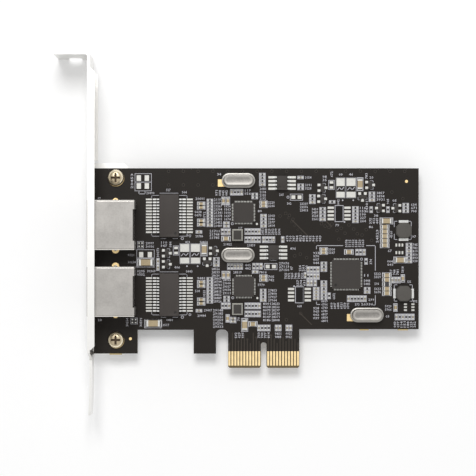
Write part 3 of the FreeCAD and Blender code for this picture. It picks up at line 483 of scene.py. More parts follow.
PRINT = finish("white_print", paint(196, 195, 202), 0.6, clouds=(700, 0.2), grain=(9000, 0.35))
BARE_PAD = finish("bare_pad", paint(190, 189, 184), 0.34, 0.85, clouds=(900, 0.2))
GOLD_PAD = finish("gold_pad", paint(231, 204, 150), 0.3, 1.0, clouds=(700, 0.3))
RAISED_MASK = finish("mask_over_copper", paint(54, 47, 39), 0.4, clouds=(60, 0.5), specular=0.3)
# Painted shade for the via holes; the same dark finish is the darker mask inside the empty places.
HOLE_SHADE_AND_DARK_MASK = finish("painted_hole_shade_and_dark_mask", paint(16, 13, 12), 0.6, specular=0.2)
LAMINATE = finish("bare_laminate", paint(196, 176, 128), 0.6, specular=0.3, clouds=(900, 0.3))
# Painted highlight along the folds of the jacks' tops.
FOLD_HIGHLIGHT_TIN = finish("fold_painted_highlight", paint(206, 203, 198), 0.3, 1.0)
# Painted shade: the sunk top panel of a can is darker than its rim; its coarser grain is its own.
CAN_PANEL_SHADE = finish("can_panel_painted_shade", paint(130, 127, 123), 0.4, 1.0, clouds=(700, 0.3), grain=(2000, 0.5))
# Painted highlight for the rim of the screw heads.
SCREW_RIM_HIGHLIGHT = finish("screw_rim_painted_highlight", paint(236, 224, 198), 0.25, 1.0)
# Painted shade for the recess of the screws.
RECESS_SHADE = finish("screw_recess_painted_shade", paint(74, 60, 44), 0.5, 0.6)
# Painted shade for the floors of the pin-one dimples.
DIMPLE_SHADE = finish("dimple_painted_shade", paint(34, 31, 29), 0.5, specular=0.3)

# %% [markdown]
# Ends of the chip parts
# Every small resistor and capacitor is a ceramic block whose two ends are dipped in metal,
# and solder climbs from the pad up each end. The blocks are in the frame as solids, several
# in a node, so the lesson first finds each block by walking over connected faces.

# %% Find the blocks in a node


def blocks(node):
    """Lowest and highest corner, in millimetres, of each separate solid in a node."""
    bm = bmesh.new()
    bm.from_mesh(frame["nodes"][node].data)
    bmesh.ops.remove_doubles(bm, verts=bm.verts, dist=1e-6)
    found, seen = [], set()
    for first in bm.verts:
        if first in seen:
            continue
        seen.add(first)
        island = [first]
        for vert in island:
            for edge in vert.link_edges:
                other = edge.other_vert(vert)
                if other not in seen:
                    seen.add(other)
                    island.append(other)
        corners = [[vert.co[axis] / MM for vert in island] for axis in range(3)]
        found.append((Vector([min(c) for c in corners]), Vector([max(c) for c in corners])))
    bm.free()
    return found


CHIP_NODES = ("chip_resistors", "chip_capacitors", "ferrite_beads", "filter_capacitors",
              "supply_capacitors", "sense_resistor", "bulk_capacitors", "isolation_capacitors")
CHIPS = {node: blocks(node) for node in CHIP_NODES}
print({node: len(found) for node, found in CHIPS.items()})

# %% [markdown]
# Chips that the dressing adds or turns
# Three banks and a few single chips are missing from the frame, and its two isolation
# capacitors stand across their printed places. Both are mended here with the sizes that the
# frame's own solids have: a chip body is one block with its edges eased, set where it belongs,
# and the caps, solder and frames that follow treat it like the rest.

# %% Extra and turned chip bodies
BODY_EASE = 0.04
EXTRA_BANKS = [
    # first chip, step to the next, and a letter each: r for a resistor, c for a capacitor
    (-11.71, 34.06, 1.05, 0, "upright", "rrccc"),
    (-12.43, 23.66, 0, -1.05, "lying", "rr"),
    (-13.77, 20.84, 1.07, 0, "upright", "rrc"),
    (-3.0, 58.2, 0, -1.03, "lying", "rr"),
    (13.97, 31.1, 0, 0, "upright", "c"),
    (17.3, 28.5, 0, 0, "upright", "c"),
    (21.95, 24.2, 0, 0, "upright", "r"),
]


def box_at(x, y, size, turned):
    """Lowest and highest corner of a chip of a size, turned a quarter or not."""
    half = (size.yxz if turned else size) / 2
    return Vector((x, y, half.z)) - half, Vector((x, y, half.z)) + half


def chip_bodies(bm, boxes):
    for low, high in boxes:
        ease_block(bm, slab(bm, *low.xy, *high.xy, low.z, high.z), BODY_EASE)


small_size = max((high - low for low, high in CHIPS["chip_resistors"]), key=lambda size: size.x)
extra = {"r": [], "c": []}
for x, y, step_x, step_y, way, letters in EXTRA_BANKS:
    for i, letter in enumerate(letters):
        extra[letter].append(box_at(x + i * step_x, y + i * step_y, small_size, way == "upright"))
lying = [box_at(*((low + high) / 2).xy, high - low, True)
         for low, high in CHIPS["isolation_capacitors"]]
for name, boxes, slot in (("added_resistors", extra["r"], "resistor_film"),
                          ("added_capacitors", extra["c"], SLOT_OF["chip_capacitors"]),
                          ("lying_capacitors", lying, SLOT_OF["isolation_capacitors"])):
    bodies = bmesh.new()
    chip_bodies(bodies, boxes)
    piece = new_piece(name, bodies, FINISHES[slot])
    if name == "lying_capacitors":
        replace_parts(piece, "isolation_capacitors")
CHIPS["isolation_capacitors"] = lying
CHIPS["added"] = extra["r"] + extra["c"]

# %% End caps, solder and pads
CAP_SKIN = 0.03
CAP_EASE = 0.06
SOLDER_TOE = PAD_TOP + 0.03
SOLDER_CLIMB = 0.55                     # of the chip's height
PAD_ROOM = 0.08


def add_terminal(bm, spot, length, width, height):
    """Cap, sloping solder and pad at the +X end of a chip, then moved to its spot."""
    before = set(bm.verts)
    reach = 0.12 + 0.13 * length        # how far the cap covers the chip, more on a long one
    end = length / 2 + CAP_SKIN
    cap = slab(bm, end - reach, -width / 2 - CAP_SKIN, end, width / 2 + CAP_SKIN,
               0.01, height + CAP_SKIN)
    ease_block(bm, cap, CAP_EASE)
    toe = end + 0.2 + 0.05 * length
    solder = slab(bm, end, -width / 2, toe, width / 2, 0.02, height * SOLDER_CLIMB)
    for vert in solder:
        if vert.co.x > end + 0.01 and vert.co.z > 0.03:
            vert.co.z = SOLDER_TOE
    slab(bm, end - reach, -width / 2 - PAD_ROOM, toe + PAD_ROOM, width / 2 + PAD_ROOM, 0, PAD_TOP)
    made = [vert for vert in bm.verts if vert not in before]
    bmesh.ops.transform(bm, matrix=spot, verts=made)


terminals = bmesh.new()
for node, found in CHIPS.items():
    for low, high in found:
        size = high - low
        centre = (low + high) / 2
        upright_turn = 0 if size.x > size.y else math.pi / 2
        for half_turn in (0, math.pi):
            spot = Matrix.Translation((centre.x, centre.y, 0))
            spot = spot @ Matrix.Rotation(upright_turn + half_turn, 4, "Z")
            add_terminal(terminals, spot, max(size.xy), min(size.xy), size.z)
new_piece("chip_terminals", terminals, FINISHES["solder"])

# %% [markdown]
# Printed frames round the chips
# Each chip sits in a printed cell a little longer and wider than itself. The cell follows
# from the chip's own box, so no place has to be written down.

# %% Frames from the chips' boxes
CELL_ROOM = Vector((1.0, 0.44))
LONG_CHIP = 3
LONG_CELL = 1.2

print_bm = bmesh.new()
for found in CHIPS.values():
    for low, high in found:
        size = (high - low).xy
        room = (CELL_ROOM if size.x > size.y else CELL_ROOM.yx) / 2
        if max(size) > LONG_CHIP:
            room = room * LONG_CELL
        inner = room - Vector((FINE_LINE, FINE_LINE)) / 2
        outline(print_bm, *(low.xy - inner), *(high.xy + inner), FINE_LINE, PRINT_TOP)

# %% [markdown]
# Lands of the transformers
# The foot of each lead stands on a pad, and a second, bare row of pads outside it lets a wider
# transformer fit the same board. Their rows repeat with the leads.

# %% Transformer lands
LAND_ROWS = 12
LAND_PITCH = 1.0
LAND_HEIGHT = 0.54
LANDS = ((-1.05, 1.8), (1.3, 2.0))      # place beyond the leads' toes, and length
FRAME_REACH = 0.4
FRAME_HALF = 6.85
CORNER_CUT = 0.3
CORNER_LEG = 0.8
TOP_LINE = 7.6
LOW_LINE = 7.65
RING_MARKS = ((4.35, -7.6, 0.5, 0.34), (6.9, -6.75, 0.4, 0.24))     # place and both radii

pads = bmesh.new()
for which in ("upper", "lower"):
    centre = middle("transformer_" + which)
    toe = (limits("transformer_leads_" + which)[1] - centre).x
    body = (limits("transformer_" + which)[1] - centre).x
    for row in range(LAND_ROWS):
        y = centre.y + (row - (LAND_ROWS - 1) / 2) * LAND_PITCH
        for side in (-1, 1):
            for beyond, length in LANDS:
                patch(pads, centre.x + side * (toe + beyond), y, length, LAND_HEIGHT, PAD_TOP)
    for side in (-1, 1):
        for end in (-1, 1):
            corner = Vector((centre.x + side * (toe + FRAME_REACH), centre.y + end * FRAME_HALF))
            line_through(print_bm, [
                (centre.x + side * body, corner.y), corner - Vector((side * CORNER_CUT, 0)),
                corner - Vector((0, end * CORNER_CUT)), corner - Vector((0, end * CORNER_LEG)),
            ], FINE_LINE, PRINT_TOP)
    for x, y, outer, inner in RING_MARKS:
        ring(print_bm, centre.x + x, centre.y + y, outer, inner, PRINT_TOP)
    stroke(print_bm, (centre.x - 3.2, centre.y + TOP_LINE), (centre.x + 2.9, centre.y + TOP_LINE),
           FINE_LINE, PRINT_TOP)
    for x in (-2.0, 2.0):
        patch(print_bm, centre.x + x, centre.y - LOW_LINE, 1.8, FINE_LINE, PRINT_TOP)

# %% [markdown]
# Pads round the leadless chips
# A leadless package shows its pads as a bright dashed square just outside its body. The count
# on a side follows from the package's size and the pitch.

# %% Pads of the leadless chips
QUAD_PITCH = 0.5
QUAD_PAD = Vector((0.5, 0.2))
QUAD_MARGIN = 0.7
DOT_RING = (0.45, 0.28)
QUADS = [
    # node, and the distance between opposite rows of pads
    ("lan_controller_upper", 7.3), ("lan_controller_lower", 7.3), ("switch_chip", 10.2),
]
for chip, ring_width in QUADS:
    centre = middle(chip)
    side_length = (limits(chip)[1] - limits(chip)[0]).x
    count = int((side_length - QUAD_MARGIN) / QUAD_PITCH)
    for i in range(count):
        along = (i - (count - 1) / 2) * QUAD_PITCH
        for side in (-1, 1):
            patch(pads, centre.x + side * ring_width / 2, centre.y + along, *QUAD_PAD, PAD_TOP)
            patch(pads, centre.x + along, centre.y + side * ring_width / 2, *QUAD_PAD.yx, PAD_TOP)
    corner = ring_width / 2
    if chip == "switch_chip":
        ring(print_bm, centre.x + corner, centre.y + corner, *DOT_RING, PRINT_TOP)
    else:
        ring(print_bm, centre.x - corner - 0.1, centre.y - corner - 0.1, *DOT_RING, PRINT_TOP)
        disc(pads, centre.x + corner + 0.85, centre.y - corner - 0.2, 0.36, PAD_TOP)

# %% [markdown]
# Empty places on the board
# A board is laid out for more than one version, so some places stay empty: the pads are there,
# bare and bright, in their printed outline, with nothing soldered on them.

# %% Empty eight-lead places and the memory chips' pads
LEAD_PITCH = 1.27
LEAD_PAD_HEIGHT = 0.75
MEMORY_PADS = (3.25, 2.7)               # reach from the middle, and width
EMPTY_PADS = (2.8, 2.1)
THICK_LINE = 0.2
PLACE_SIZE = Vector((2.5, 5.2))
DARK_SIZE = Vector((2.3, 5.0))
DARK_TOP = 0.008


def lead_pads(centre_x, centre_y, reach, width):
    """Two columns of four pads left and right of a centre."""
    for row in (-1.5, -0.5, 0.5, 1.5):
        for side in (-1, 1):
            patch(pads, centre_x + side * reach, centre_y + row * LEAD_PITCH,
                  width, LEAD_PAD_HEIGHT, PAD_TOP)


for chip in ("memory_chip_upper", "memory_chip_lower"):
    lead_pads(*middle(chip).xy, *MEMORY_PADS)
hole_shade_and_dark_mask = bmesh.new()
for x, y, low_end, dot in ((25.3, 51.85, 49.2, (27.1, 49.0)), (12.0, 24.6, 21.95, (10.2, 27.4))):
    lead_pads(x, y, *EMPTY_PADS)
    corner = Vector((x - PLACE_SIZE.x / 2, low_end))
    outline(print_bm, *corner, *(corner + PLACE_SIZE), THICK_LINE, PRINT_TOP)
    patch(hole_shade_and_dark_mask, x, low_end + PLACE_SIZE.y / 2, *DARK_SIZE, DARK_TOP)
    disc(print_bm, *dot, 0.28, PRINT_TOP)
stroke(print_bm, (13.35, 22.0), (13.35, 27.1), 0.3, PRINT_TOP)

# %% Bare pad pairs
HAIRLINE = 0.09
PAD_PAIRS = [
    # centre, width and height of one pad, and the distance between the two
    (-40.55, 63.7, 1.45, 1.9, 2.7), (-40.55, 61.05, 1.45, 1.9, 2.7), (-39.65, 38.0, 1.4, 1.8, 2.9),
]
STANDING_PAIRS = [(22.73, 61.41), (-29.4, 39.43)]
STANDING_PAD = (1.25, 0.8)
DIODE_PLACES = [
    # centre and upper end of the place, and the width of its pads
    (25.8, 63.75, 2.75), (29.3, 63.75, 3.0), (-26.5, 41.65, 3.0), (-22.9, 41.65, 3.0),
]
PRINTED_LINES = [
    # corners of each line drawn on the board
    [(17.7, 40.0), (17.7, 41.05), (26.5, 41.05)], [(34.5, 41.05), (37.45, 41.05), (37.45, 32.75)],
    [(37.45, 24.3), (37.45, 21.1), (36.9, 21.1)], [(17.7, 22.1), (17.7, 21.3), (18.8, 21.3)],
    [(1.9, 36.5), (2.2, 36.1), (4.3, 36.1), (4.6, 36.5)],
    [(-41.85, 59.2), (-41.85, 58.4), (-39.8, 58.4), (-39.8, 59.2)],
    [(-42.5, 36.9), (-36.8, 36.9)], [(-43.1, 62.35), (-37.75, 62.35)],
]
PRINTED_BOXES = [
    # opposite corners of each box drawn on the board
    (-43.1, 59.5, -37.75, 65.1), (-42.5, 33.9, -36.8, 39.6), (-39.9, 13.5, -34.5, 16.2),
]


def diode_place(x, top, width):
    """Two wide pads in a fine frame, with a zigzag printed between them."""
    patch(pads, x, top - 1.4, width, 2.6, PAD_TOP)
    patch(pads, x, top - 5.6, width, 1.9, PAD_TOP)
    outline(print_bm, x - width / 2 - 0.1, top - 6.65, x + width / 2 + 0.1, top, HAIRLINE, PRINT_TOP)
    tooth = width / 4
    points = [(x + (i - 1.5) * tooth, top - (3.15 if i % 2 else 4.0)) for i in range(4)]
    line_through(print_bm, points, 0.22, PRINT_TOP)
    disc(print_bm, x + width / 4, top - 7.5, 0.26, PRINT_TOP, sides=10)


for place in DIODE_PLACES:
    diode_place(*place)
for x, y, width, height, apart in PAD_PAIRS:
    for side in (-1, 1):
        patch(pads, x + side * apart / 2, y, width, height, PAD_TOP)
for x, y in STANDING_PAIRS:
    for side in (-1, 1):
        patch(pads, x, y + side * 0.85, *STANDING_PAD, PAD_TOP)
    outline(print_bm, x - 0.85, y - 1.45, x + 0.85, y + 1.45, FINE_LINE, PRINT_TOP)
for corners in PRINTED_BOXES:
    outline(print_bm, *corners, FINE_LINE, PRINT_TOP)
for points in PRINTED_LINES:
    line_through(print_bm, points, THICK_LINE, PRINT_TOP)

# %% Corner marks round the power inductors
CORNER_MARK = 0.9
for x0, y0, x1, y1 in ((43.8, 43.1, 49.5, 49.2), (43.8, 22.4, 49.9, 27.9)):
    for x, inward_x in ((x0, 1), (x1, -1)):
        for y, inward_y in ((y0, 1), (y1, -1)):
            line_through(print_bm, [
                (x + inward_x * CORNER_MARK, y), (x, y), (x, y + inward_y * 2 * CORNER_MARK),
            ], THICK_LINE, PRINT_TOP)

# %% Dim cells that hold no chip
CELL_STEP = 1.1
CELL_HALF = Vector((0.5, 0.95))
CELL_PAD = 0.45
CELL_ENDS = (-0.5, 0.5)
DIM_LINE = 0.12
for place, side_by_side in ((Vector((-41.3, 41.35)), False), (Vector((-43.5, 15.75)), True)):
    half = CELL_HALF if side_by_side else CELL_HALF.yx
    step = Vector((CELL_STEP, 0)) if side_by_side else Vector((0, CELL_STEP))
    for cell in (place - step / 2, place + step / 2):
        outline(print_bm, *(cell - half), *(cell + half), DIM_LINE, PRINT_TOP)
        for end in CELL_ENDS:
            shift = Vector((0, end)) if side_by_side else Vector((end, 0))
            patch(pads, *(cell + shift), CELL_PAD, CELL_PAD, PAD_TOP)

# %% Pads of the transistors and the small footprints
TRANSISTOR_PAD = (0.95, 0.85)
PAD_BEYOND = 1.25                       # how much farther out a pad lies than its lead
MARK_OUT = 1.0
MARK_HALF = 1.5
MARK_LEGS = (0.6, 0.9)
SMALL_PAD = (0.55, 1.0)

BODIES = [middle_of(body) for body in blocks("transistors")]
SINGLE_SIDE = [Vector((0, 0, 0)) for body in BODIES]
for low, high in blocks("transistor_leads"):
    centre = (low + high) / 2
    nearest = min(BODIES, key=lambda other: (other - centre).xy.length)
    SINGLE_SIDE[BODIES.index(nearest)] -= centre - nearest
    away = (centre - nearest).xy
    away[0 if (high - low).x > (high - low).y else 1] *= PAD_BEYOND
    patch(pads, nearest.x + away.x, nearest.y + away.y, *TRANSISTOR_PAD, PAD_TOP)
for body, side in zip(BODIES, SINGLE_SIDE):
    side = Vector((math.copysign(1, side.x), 0) if abs(side.x) > abs(side.y)
                  else (0, math.copysign(1, side.y)))
    across = side.orthogonal()
    for end in (-1, 1):
        corner = body.xy + side * MARK_OUT + across * end * MARK_HALF
        line_through(print_bm, [corner - across * end * MARK_LEGS[0], corner,
                                corner - side * MARK_LEGS[1]], FINE_LINE, PRINT_TOP)
for x in (44.5, 45.54, 46.54):
    for y in (41.24, 38.69):
        patch(pads, x, y, *SMALL_PAD, PAD_TOP)
for y in (21.38, 20.4, 19.4):
    for x in (47.55, 50.07):
        patch(pads, x, y, *reversed(SMALL_PAD), PAD_TOP)
for x, y in ((10.99, 57.3), (2.38, 34.03)):
    outline(print_bm, x - 2.0, y - 0.95, x + 2.0, y + 0.95, FINE_LINE, PRINT_TOP)
    for side in (-1, 1):
        patch(pads, x + side * 1.05, y, 1.3, 1.2, PAD_TOP)
    ring(print_bm, x - 2.85, y, *DOT_RING, PRINT_TOP)
new_piece("bare_pads", pads, BARE_PAD)

# %% [markdown]
# Gold
# The contact fingers are solids of the frame. The rings under the screw heads, the half-hidden
# rings of the jack's shield pins and the sighting dots are gold too, and lie on the board.

# %% Gold rings, lands and dots
SCREW_RING = (2.75, 1.95)
WIDE_PIN_RING = (1.25, 0.5)
PIN_RING = (0.95, 0.5)
PIN_COLUMN = -49.7
SIGHTING_DOT = 0.5
TEST_LAND = (2.35, 2.4)

gold = bmesh.new()
for low, high in blocks("bracket_screws"):
    centre = (low + high) / 2
    ring(gold, centre.x + 0.05, centre.y - 0.12, *SCREW_RING, PAD_TOP, sides=48)
for which in ("upper", "lower"):
    low, high = limits("port_shield_" + which)
    for y, inner_row in ((low.y, which == "upper"), (high.y, which == "lower")):
        ring(gold, PIN_COLUMN, y, *(WIDE_PIN_RING if inner_row else PIN_RING), PAD_TOP)
for x, y in ((47.9, 62.6), (-44.7, 9.8)):
    disc(gold, x, y, SIGHTING_DOT, PAD_TOP)
for x, y in ((-14.2, 62.05), (29.1, 16.9)):
    patch(gold, x, y, *TEST_LAND, PAD_TOP)
new_piece("gold_lands", gold, GOLD_PAD)

# %% [markdown]
# Plain numbers
# Each part has its own small printed label, and the labels of a bank stand in a block beside
# it: lying labels one below the other, or standing ones side by side, as the bank runs. Here
# they are plain running numbers, set as text, made a mesh and stretched to their room.

# %% Labels
LABEL_PITCH = 1.1
LABEL_HEIGHT = 0.82
DIGIT_WIDTH = 0.72                      # of a digit's height
FIRST_NUMBER = 20416
NUMBER_STEP = 37
LABEL_BLOCKS = [
    # centre, width and height of each block of labels, from the top left of the board
    (-44.2, 62.7, 1.1, 5.0), (-38.0, 58.7, 2.7, 0.8), (-32.0, 59.7, 1.5, 0.9),
    (-26.6, 58.95, 1.6, 1.1), (-21.4, 56.8, 2.9, 1.0), (-22.0, 51.8, 2.3, 2.3),
    (-19.9, 51.2, 1.0, 2.4), (-25.1, 44.4, 1.6, 0.8), (-21.6, 44.2, 2.6, 0.8),
    (-25.5, 42.2, 1.5, 0.8), (-20.1, 42.2, 2.7, 0.8), (-55.2, 56.9, 1.0, 0.8),
    (-14.95, 65.0, 1.3, 1.0), (-14.15, 58.7, 4.3, 1.9), (-5.3, 59.05, 2.0, 1.9),
    (-15.3, 52.1, 2.7, 9.6), (-12.1, 52.1, 2.1, 4.8), (-16.5, 44.8, 3.3, 3.2),
    (-12.1, 41.5, 2.8, 0.8), (-4.2, 41.15, 2.7, 0.9), (9.85, 40.05, 1.9, 0.9),
    (17.6, 36.9, 2.0, 4.4), (-0.29, 58.46, 2.1, 4.1), (2.6, 54.95, 2.2, 1.9),
    (2.6, 49.4, 2.2, 4.5), (2.42, 45.7, 5.8, 2.1), (13.4, 43.4, 11.9, 2.0),
    (-1.3, 52.65, 1.4, 0.8), (-7.8, 46.9, 1.2, 0.8), (14.95, 63.9, 2.1, 1.1),
    (14.95, 60.8, 2.1, 1.9), (5.95, 58.15, 1.5, 0.9), (8.55, 55.15, 1.5, 0.9),
    (13.5, 54.0, 2.7, 3.1), (17.2, 51.6, 2.1, 4.3), (20.45, 63.6, 1.4, 1.9),
    (22.8, 65.0, 1.0, 1.9), (25.85, 64.9, 1.3, 0.8), (29.3, 64.95, 1.4, 0.9),
    (34.45, 64.4, 0.9, 2.0), (36.15, 63.9, 1.3, 0.8), (39.2, 57.6, 2.6, 3.1),
    (41.65, 55.85, 0.9, 1.7), (43.9, 56.15, 1.4, 0.9), (25.0, 55.65, 0.8, 1.9),
    (24.65, 47.9, 1.3, 0.8), (33.3, 51.5, 2.0, 5.7), (34.6, 54.0, 1.0, 3.8),
    (37.7, 51.1, 1.4, 0.8), (36.95, 49.35, 3.5, 2.0), (36.0, 47.3, 1.4, 0.8),
    (38.1, 44.2, 1.2, 4.4), (42.8, 44.8, 1.1, 2.4), (50.45, 44.05, 1.3, 0.9),
    (50.35, 53.7, 1.9, 3.2), (50.8, 38.6, 1.7, 6.5), (42.3, 39.3, 1.3, 0.9),
    (42.4, 35.2, 1.9, 2.0), (30.5, 41.8, 6.5, 2.5), (22.8, 39.2, 2.2, 2.0),
    (35.95, 35.65, 0.9, 1.7), (34.4, 31.05, 1.4, 0.9), (34.65, 28.75, 2.1, 2.0),
    (38.2, 31.05, 2.2, 2.1), (37.95, 28.25, 1.5, 0.9), (38.2, 26.0, 2.2, 2.3),
    (43.85, 32.1, 3.4, 1.8), (46.6, 33.0, 1.0, 2.1), (48.8, 28.9, 1.3, 0.8),
    (50.75, 22.4, 1.5, 0.9), (41.8, 20.15, 2.2, 2.0), (41.5, 17.3, 1.2, 1.0),
    (47.3, 14.6, 6.9, 2.0), (36.1, 22.9, 1.9, 1.0), (34.7, 21.4, 4.0, 1.1),
    (31.35, 21.3, 1.5, 1.0), (25.5, 20.85, 6.7, 2.1), (23.55, 24.05, 1.1, 2.1),
    (20.4, 19.1, 2.1, 7.5), (17.6, 18.4, 2.0, 4.6), (6.85, 34.0, 3.4, 2.6),
    (9.35, 33.5, 0.9, 1.2), (13.3, 33.4, 3.4, 2.0), (10.15, 30.9, 6.1, 2.1),
    (12.55, 28.5, 3.2, 2.0), (12.0, 20.75, 1.5, 0.9), (2.5, 30.05, 2.05, 2.3),
    (-0.85, 27.85, 2.3, 0.9), (-0.3, 32.1, 2.6, 0.9), (2.95, 24.35, 2.9, 4.5),
    (1.05, 18.8, 2.6, 6.0), (4.0, 18.8, 2.7, 6.0), (-5.3, 33.95, 2.0, 2.4),
    (-8.8, 32.1, 2.8, 1.0), (-16.1, 32.1, 2.7, 3.1), (-15.5, 26.2, 2.7, 8.2),
    (-12.4, 27.3, 2.7, 5.6), (-15.3, 16.6, 3.4, 5.9), (-8.4, 16.4, 1.0, 1.3),
    (-18.7, 19.35, 2.7, 0.9), (-20.8, 17.55, 2.8, 0.9), (-21.0, 30.1, 2.6, 1.2),
    (-22.2, 25.8, 1.6, 0.9), (-19.9, 25.0, 0.9, 2.3), (-8.2, 10.97, 3.2, 1.9),
    (0.0, 10.97, 4.3, 1.9), (4.8, 10.97, 2.1, 1.9), (8.4, 10.97, 2.1, 1.9),
    (-38.2, 41.3, 2.7, 2.1), (-35.5, 38.7, 1.1, 3.1), (-33.4, 41.55, 2.0, 1.9),
    (-31.3, 41.5, 0.9, 1.8), (-44.55, 37.9, 2.1, 0.8), (-44.25, 35.5, 2.7, 0.8),
    (-41.2, 31.9, 2.6, 2.0), (-37.7, 32.5, 2.8, 0.8), (-29.05, 33.75, 1.9, 0.9),
    (-25.0, 32.4, 2.2, 0.8), (-31.55, 16.1, 2.3, 0.8), (-32.8, 14.4, 2.1, 1.0),
    (-45.8, 15.3, 0.9, 2.8), (-41.2, 15.3, 0.9, 2.8), (-55.0, 16.1, 1.3, 0.9),
]


def digits_mesh(text):
    """Mesh of a number, one unit wide and high and centred on the origin."""
    curve = bpy.data.curves.new("digits", "FONT")
    curve.body = text
    curve.resolution_u = 1
    curve.extrude = 0.5
    curve.offset = 0.012
    holder = bpy.data.objects.new("digits", curve)
    scene.collection.objects.link(holder)
    bpy.context.view_layer.update()
    mesh = bpy.data.meshes.new_from_object(holder)
    bpy.data.objects.remove(holder)
    bpy.data.curves.remove(curve)
    low = Vector([min(vert.co[axis] for vert in mesh.vertices) for axis in range(3)])
    high = Vector([max(vert.co[axis] for vert in mesh.vertices) for axis in range(3)])
    size = high - low
    mesh.transform(Matrix.Diagonal((1 / size.x, 1 / size.y, 1 / size.z, 1))
                   @ Matrix.Translation(-(low + high) / 2))
    return mesh


def add_label(bm, text, x, y, width, height):
    """One label; a tall one is turned a quarter, to read up the card."""
    tall = height > width
    length, letter = (height, width) if tall else (width, height)
    mesh = digits_mesh(text)
    turn = Matrix.Rotation(math.pi / 2 if tall else 0, 4, "Z")
    size = Matrix.Diagonal((length, letter, PRINT_TOP, 1))
    mesh.transform(Matrix.Translation((x, y, PRINT_TOP / 2)) @ turn @ size)
    bm.from_mesh(mesh)
    bpy.data.meshes.remove(mesh)


def label_text(number, length, letter):
    """As many digits of a running number as fit a label of this length."""
    digits = max(1, min(5, round(length / (letter * DIGIT_WIDTH))))
    return str(number % 10 ** digits).zfill(digits)


def label_block(x, y, width, height, number):
    """Labels that fill a block: rows if it is tall, quarter-turned columns if it is wide."""
    reads_up = (width < 1.3 and height > width) or 1.3 <= height <= 0.75 * width
    run, length = (width, height) if reads_up else (height, width)
    count = max(1, round((run + LABEL_PITCH - LABEL_HEIGHT) / LABEL_PITCH))
    letter = min(LABEL_HEIGHT, run)
    for i in range(count):
        along = (i - (count - 1) / 2) * LABEL_PITCH
        number += NUMBER_STEP
        text = label_text(number, length, letter)
        if reads_up:
            add_label(print_bm, text, x + along, y, letter, length)
        else:
            add_label(print_bm, text, x, y - along, length, letter)
    return number


number = FIRST_NUMBER
for block in LABEL_BLOCKS:
    number = label_block(*block, number)
print("labels up to number", number)
new_piece("board_print", print_bm, PRINT)

# %% [markdown]
# Screws
# A screw is turned: head and shank are one profile spun round the axis. The recess is pressed
# in afterwards, so here a cross is cut from the head by a boolean. The faces in the recess are
# painted dark as painted shade, and the outer top of the head bright as a painted highlight.

# %% Screws
SHANK = 1.35
THREAD_PITCH = 0.5
THREAD_DEPTH = 0.18
TURN_STEPS = 40
HEAD_PROFILE = [
    # share of the head's radius, and depth below its top
    (0, 0), (0.45, 0.03), (0.75, 0.25), (0.93, 0.7), (1, 1.3),
]
ARM_LENGTH = 3.1
ARM_WIDTH = 0.75
RECESS_DEPTH = 1.1
RECESS_REACH = 1.65


def blade_cutter(name, x, y, width, height, top, depth):
    """Box that presses one arm of the cross recess."""
    bm = bmesh.new()
    patch(bm, x, y, width, height, top + 1, top - depth)
    bmesh.ops.scale(bm, vec=(MM, MM, MM), verts=bm.verts)
    return mesh_object(name, bm)


def screw(name, low, high):
    """Pan-head screw in the box of its solid."""
    x, y = (low.x + high.x) / 2, (low.y + high.y) / 2
    head = (high.x - low.x) / 2
    profile = [(share * head, high.z - depth) for share, depth in HEAD_PROFILE]
    profile += [(head, 0), (SHANK, 0)]
    crest = -THREAD_PITCH
    while crest > low.z + 0.1:
        profile += [(SHANK - THREAD_DEPTH, crest + THREAD_PITCH / 2), (SHANK, crest)]
        crest -= THREAD_PITCH
    profile.append((0, low.z))
    bm = bmesh.new()
    spun(bm, x, y, profile, TURN_STEPS, closed=False)
    bmesh.ops.remove_doubles(bm, verts=bm.verts, dist=1e-4)
    piece = new_piece(name, bm, FINISHES["screw_metal"], smooth=35)
    cutters = [blade_cutter(name + "_arm", x, y, width, height, high.z, RECESS_DEPTH)
               for width, height in ((ARM_LENGTH, ARM_WIDTH), (ARM_WIDTH, ARM_LENGTH))]
    for cutter in cutters:
        cut = piece.modifiers.new("recess", "BOOLEAN")
        cut.operation = "DIFFERENCE"
        cut.solver = "EXACT"
        cut.object = cutter
    bpy.context.view_layer.update()
    cut_mesh = bpy.data.meshes.new_from_object(
        piece.evaluated_get(bpy.context.evaluated_depsgraph_get()))
    piece.modifiers.clear()
    piece.data = cut_mesh
    for cutter in cutters:
        bpy.data.objects.remove(cutter)
    cut_mesh.materials.append(RECESS_SHADE)
    cut_mesh.materials.append(SCREW_RIM_HIGHLIGHT)
    # Painted shade inside the recess, painted highlight on the outer rim of the head.
    for face in cut_mesh.polygons:
        reach = (face.center.xy / MM - Vector((x, y))).length
        height = face.center.z / MM
        if reach < RECESS_REACH and 0 < height < high.z - 0.4:
            face.material_index = 1
        elif reach > 0.75 * head and height > high.z - 1.0:
            face.material_index = 2
    print(name, "is", round(piece.dimensions.x / MM, 2), "mm across")
    return piece


for name, (low, high) in zip(("screw_low", "screw_high"), sorted(
        blocks("bracket_screws"), key=lambda corners: corners[0].y)):
    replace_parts(screw(name, low, high), "bracket_screws")

# %% [markdown]
# Eased edges
# Drawn cans, pressed ferrite and moulded epoxy have no knife edges. Each of these solids is
# copied, its loose triangles are merged and joined to flat faces, and every sharp edge gets a
# small round bevel that stays inside the solid.

# %% Copies with eased edges
EASED = [
    # node, radius of the easing and its segments
    ("crystal_can_upper", 0.08, 2), ("crystal_can_middle", 0.08, 2), ("crystal_can_lower", 0.08, 2),
    ("power_inductor_upper", 0.14, 3), ("power_inductor_lower", 0.14, 3),
    ("moulded_inductor_upper", 0.12, 3), ("moulded_inductor_lower", 0.12, 3),
    ("transformer_upper", 0.12, 3), ("transformer_lower", 0.12, 3),
    ("memory_chip_upper", 0.05, 2), ("memory_chip_lower", 0.05, 2), ("transistors", 0.08, 2),
]
PANEL_INSET = 0.62
PANEL_DEPTH = 0.14


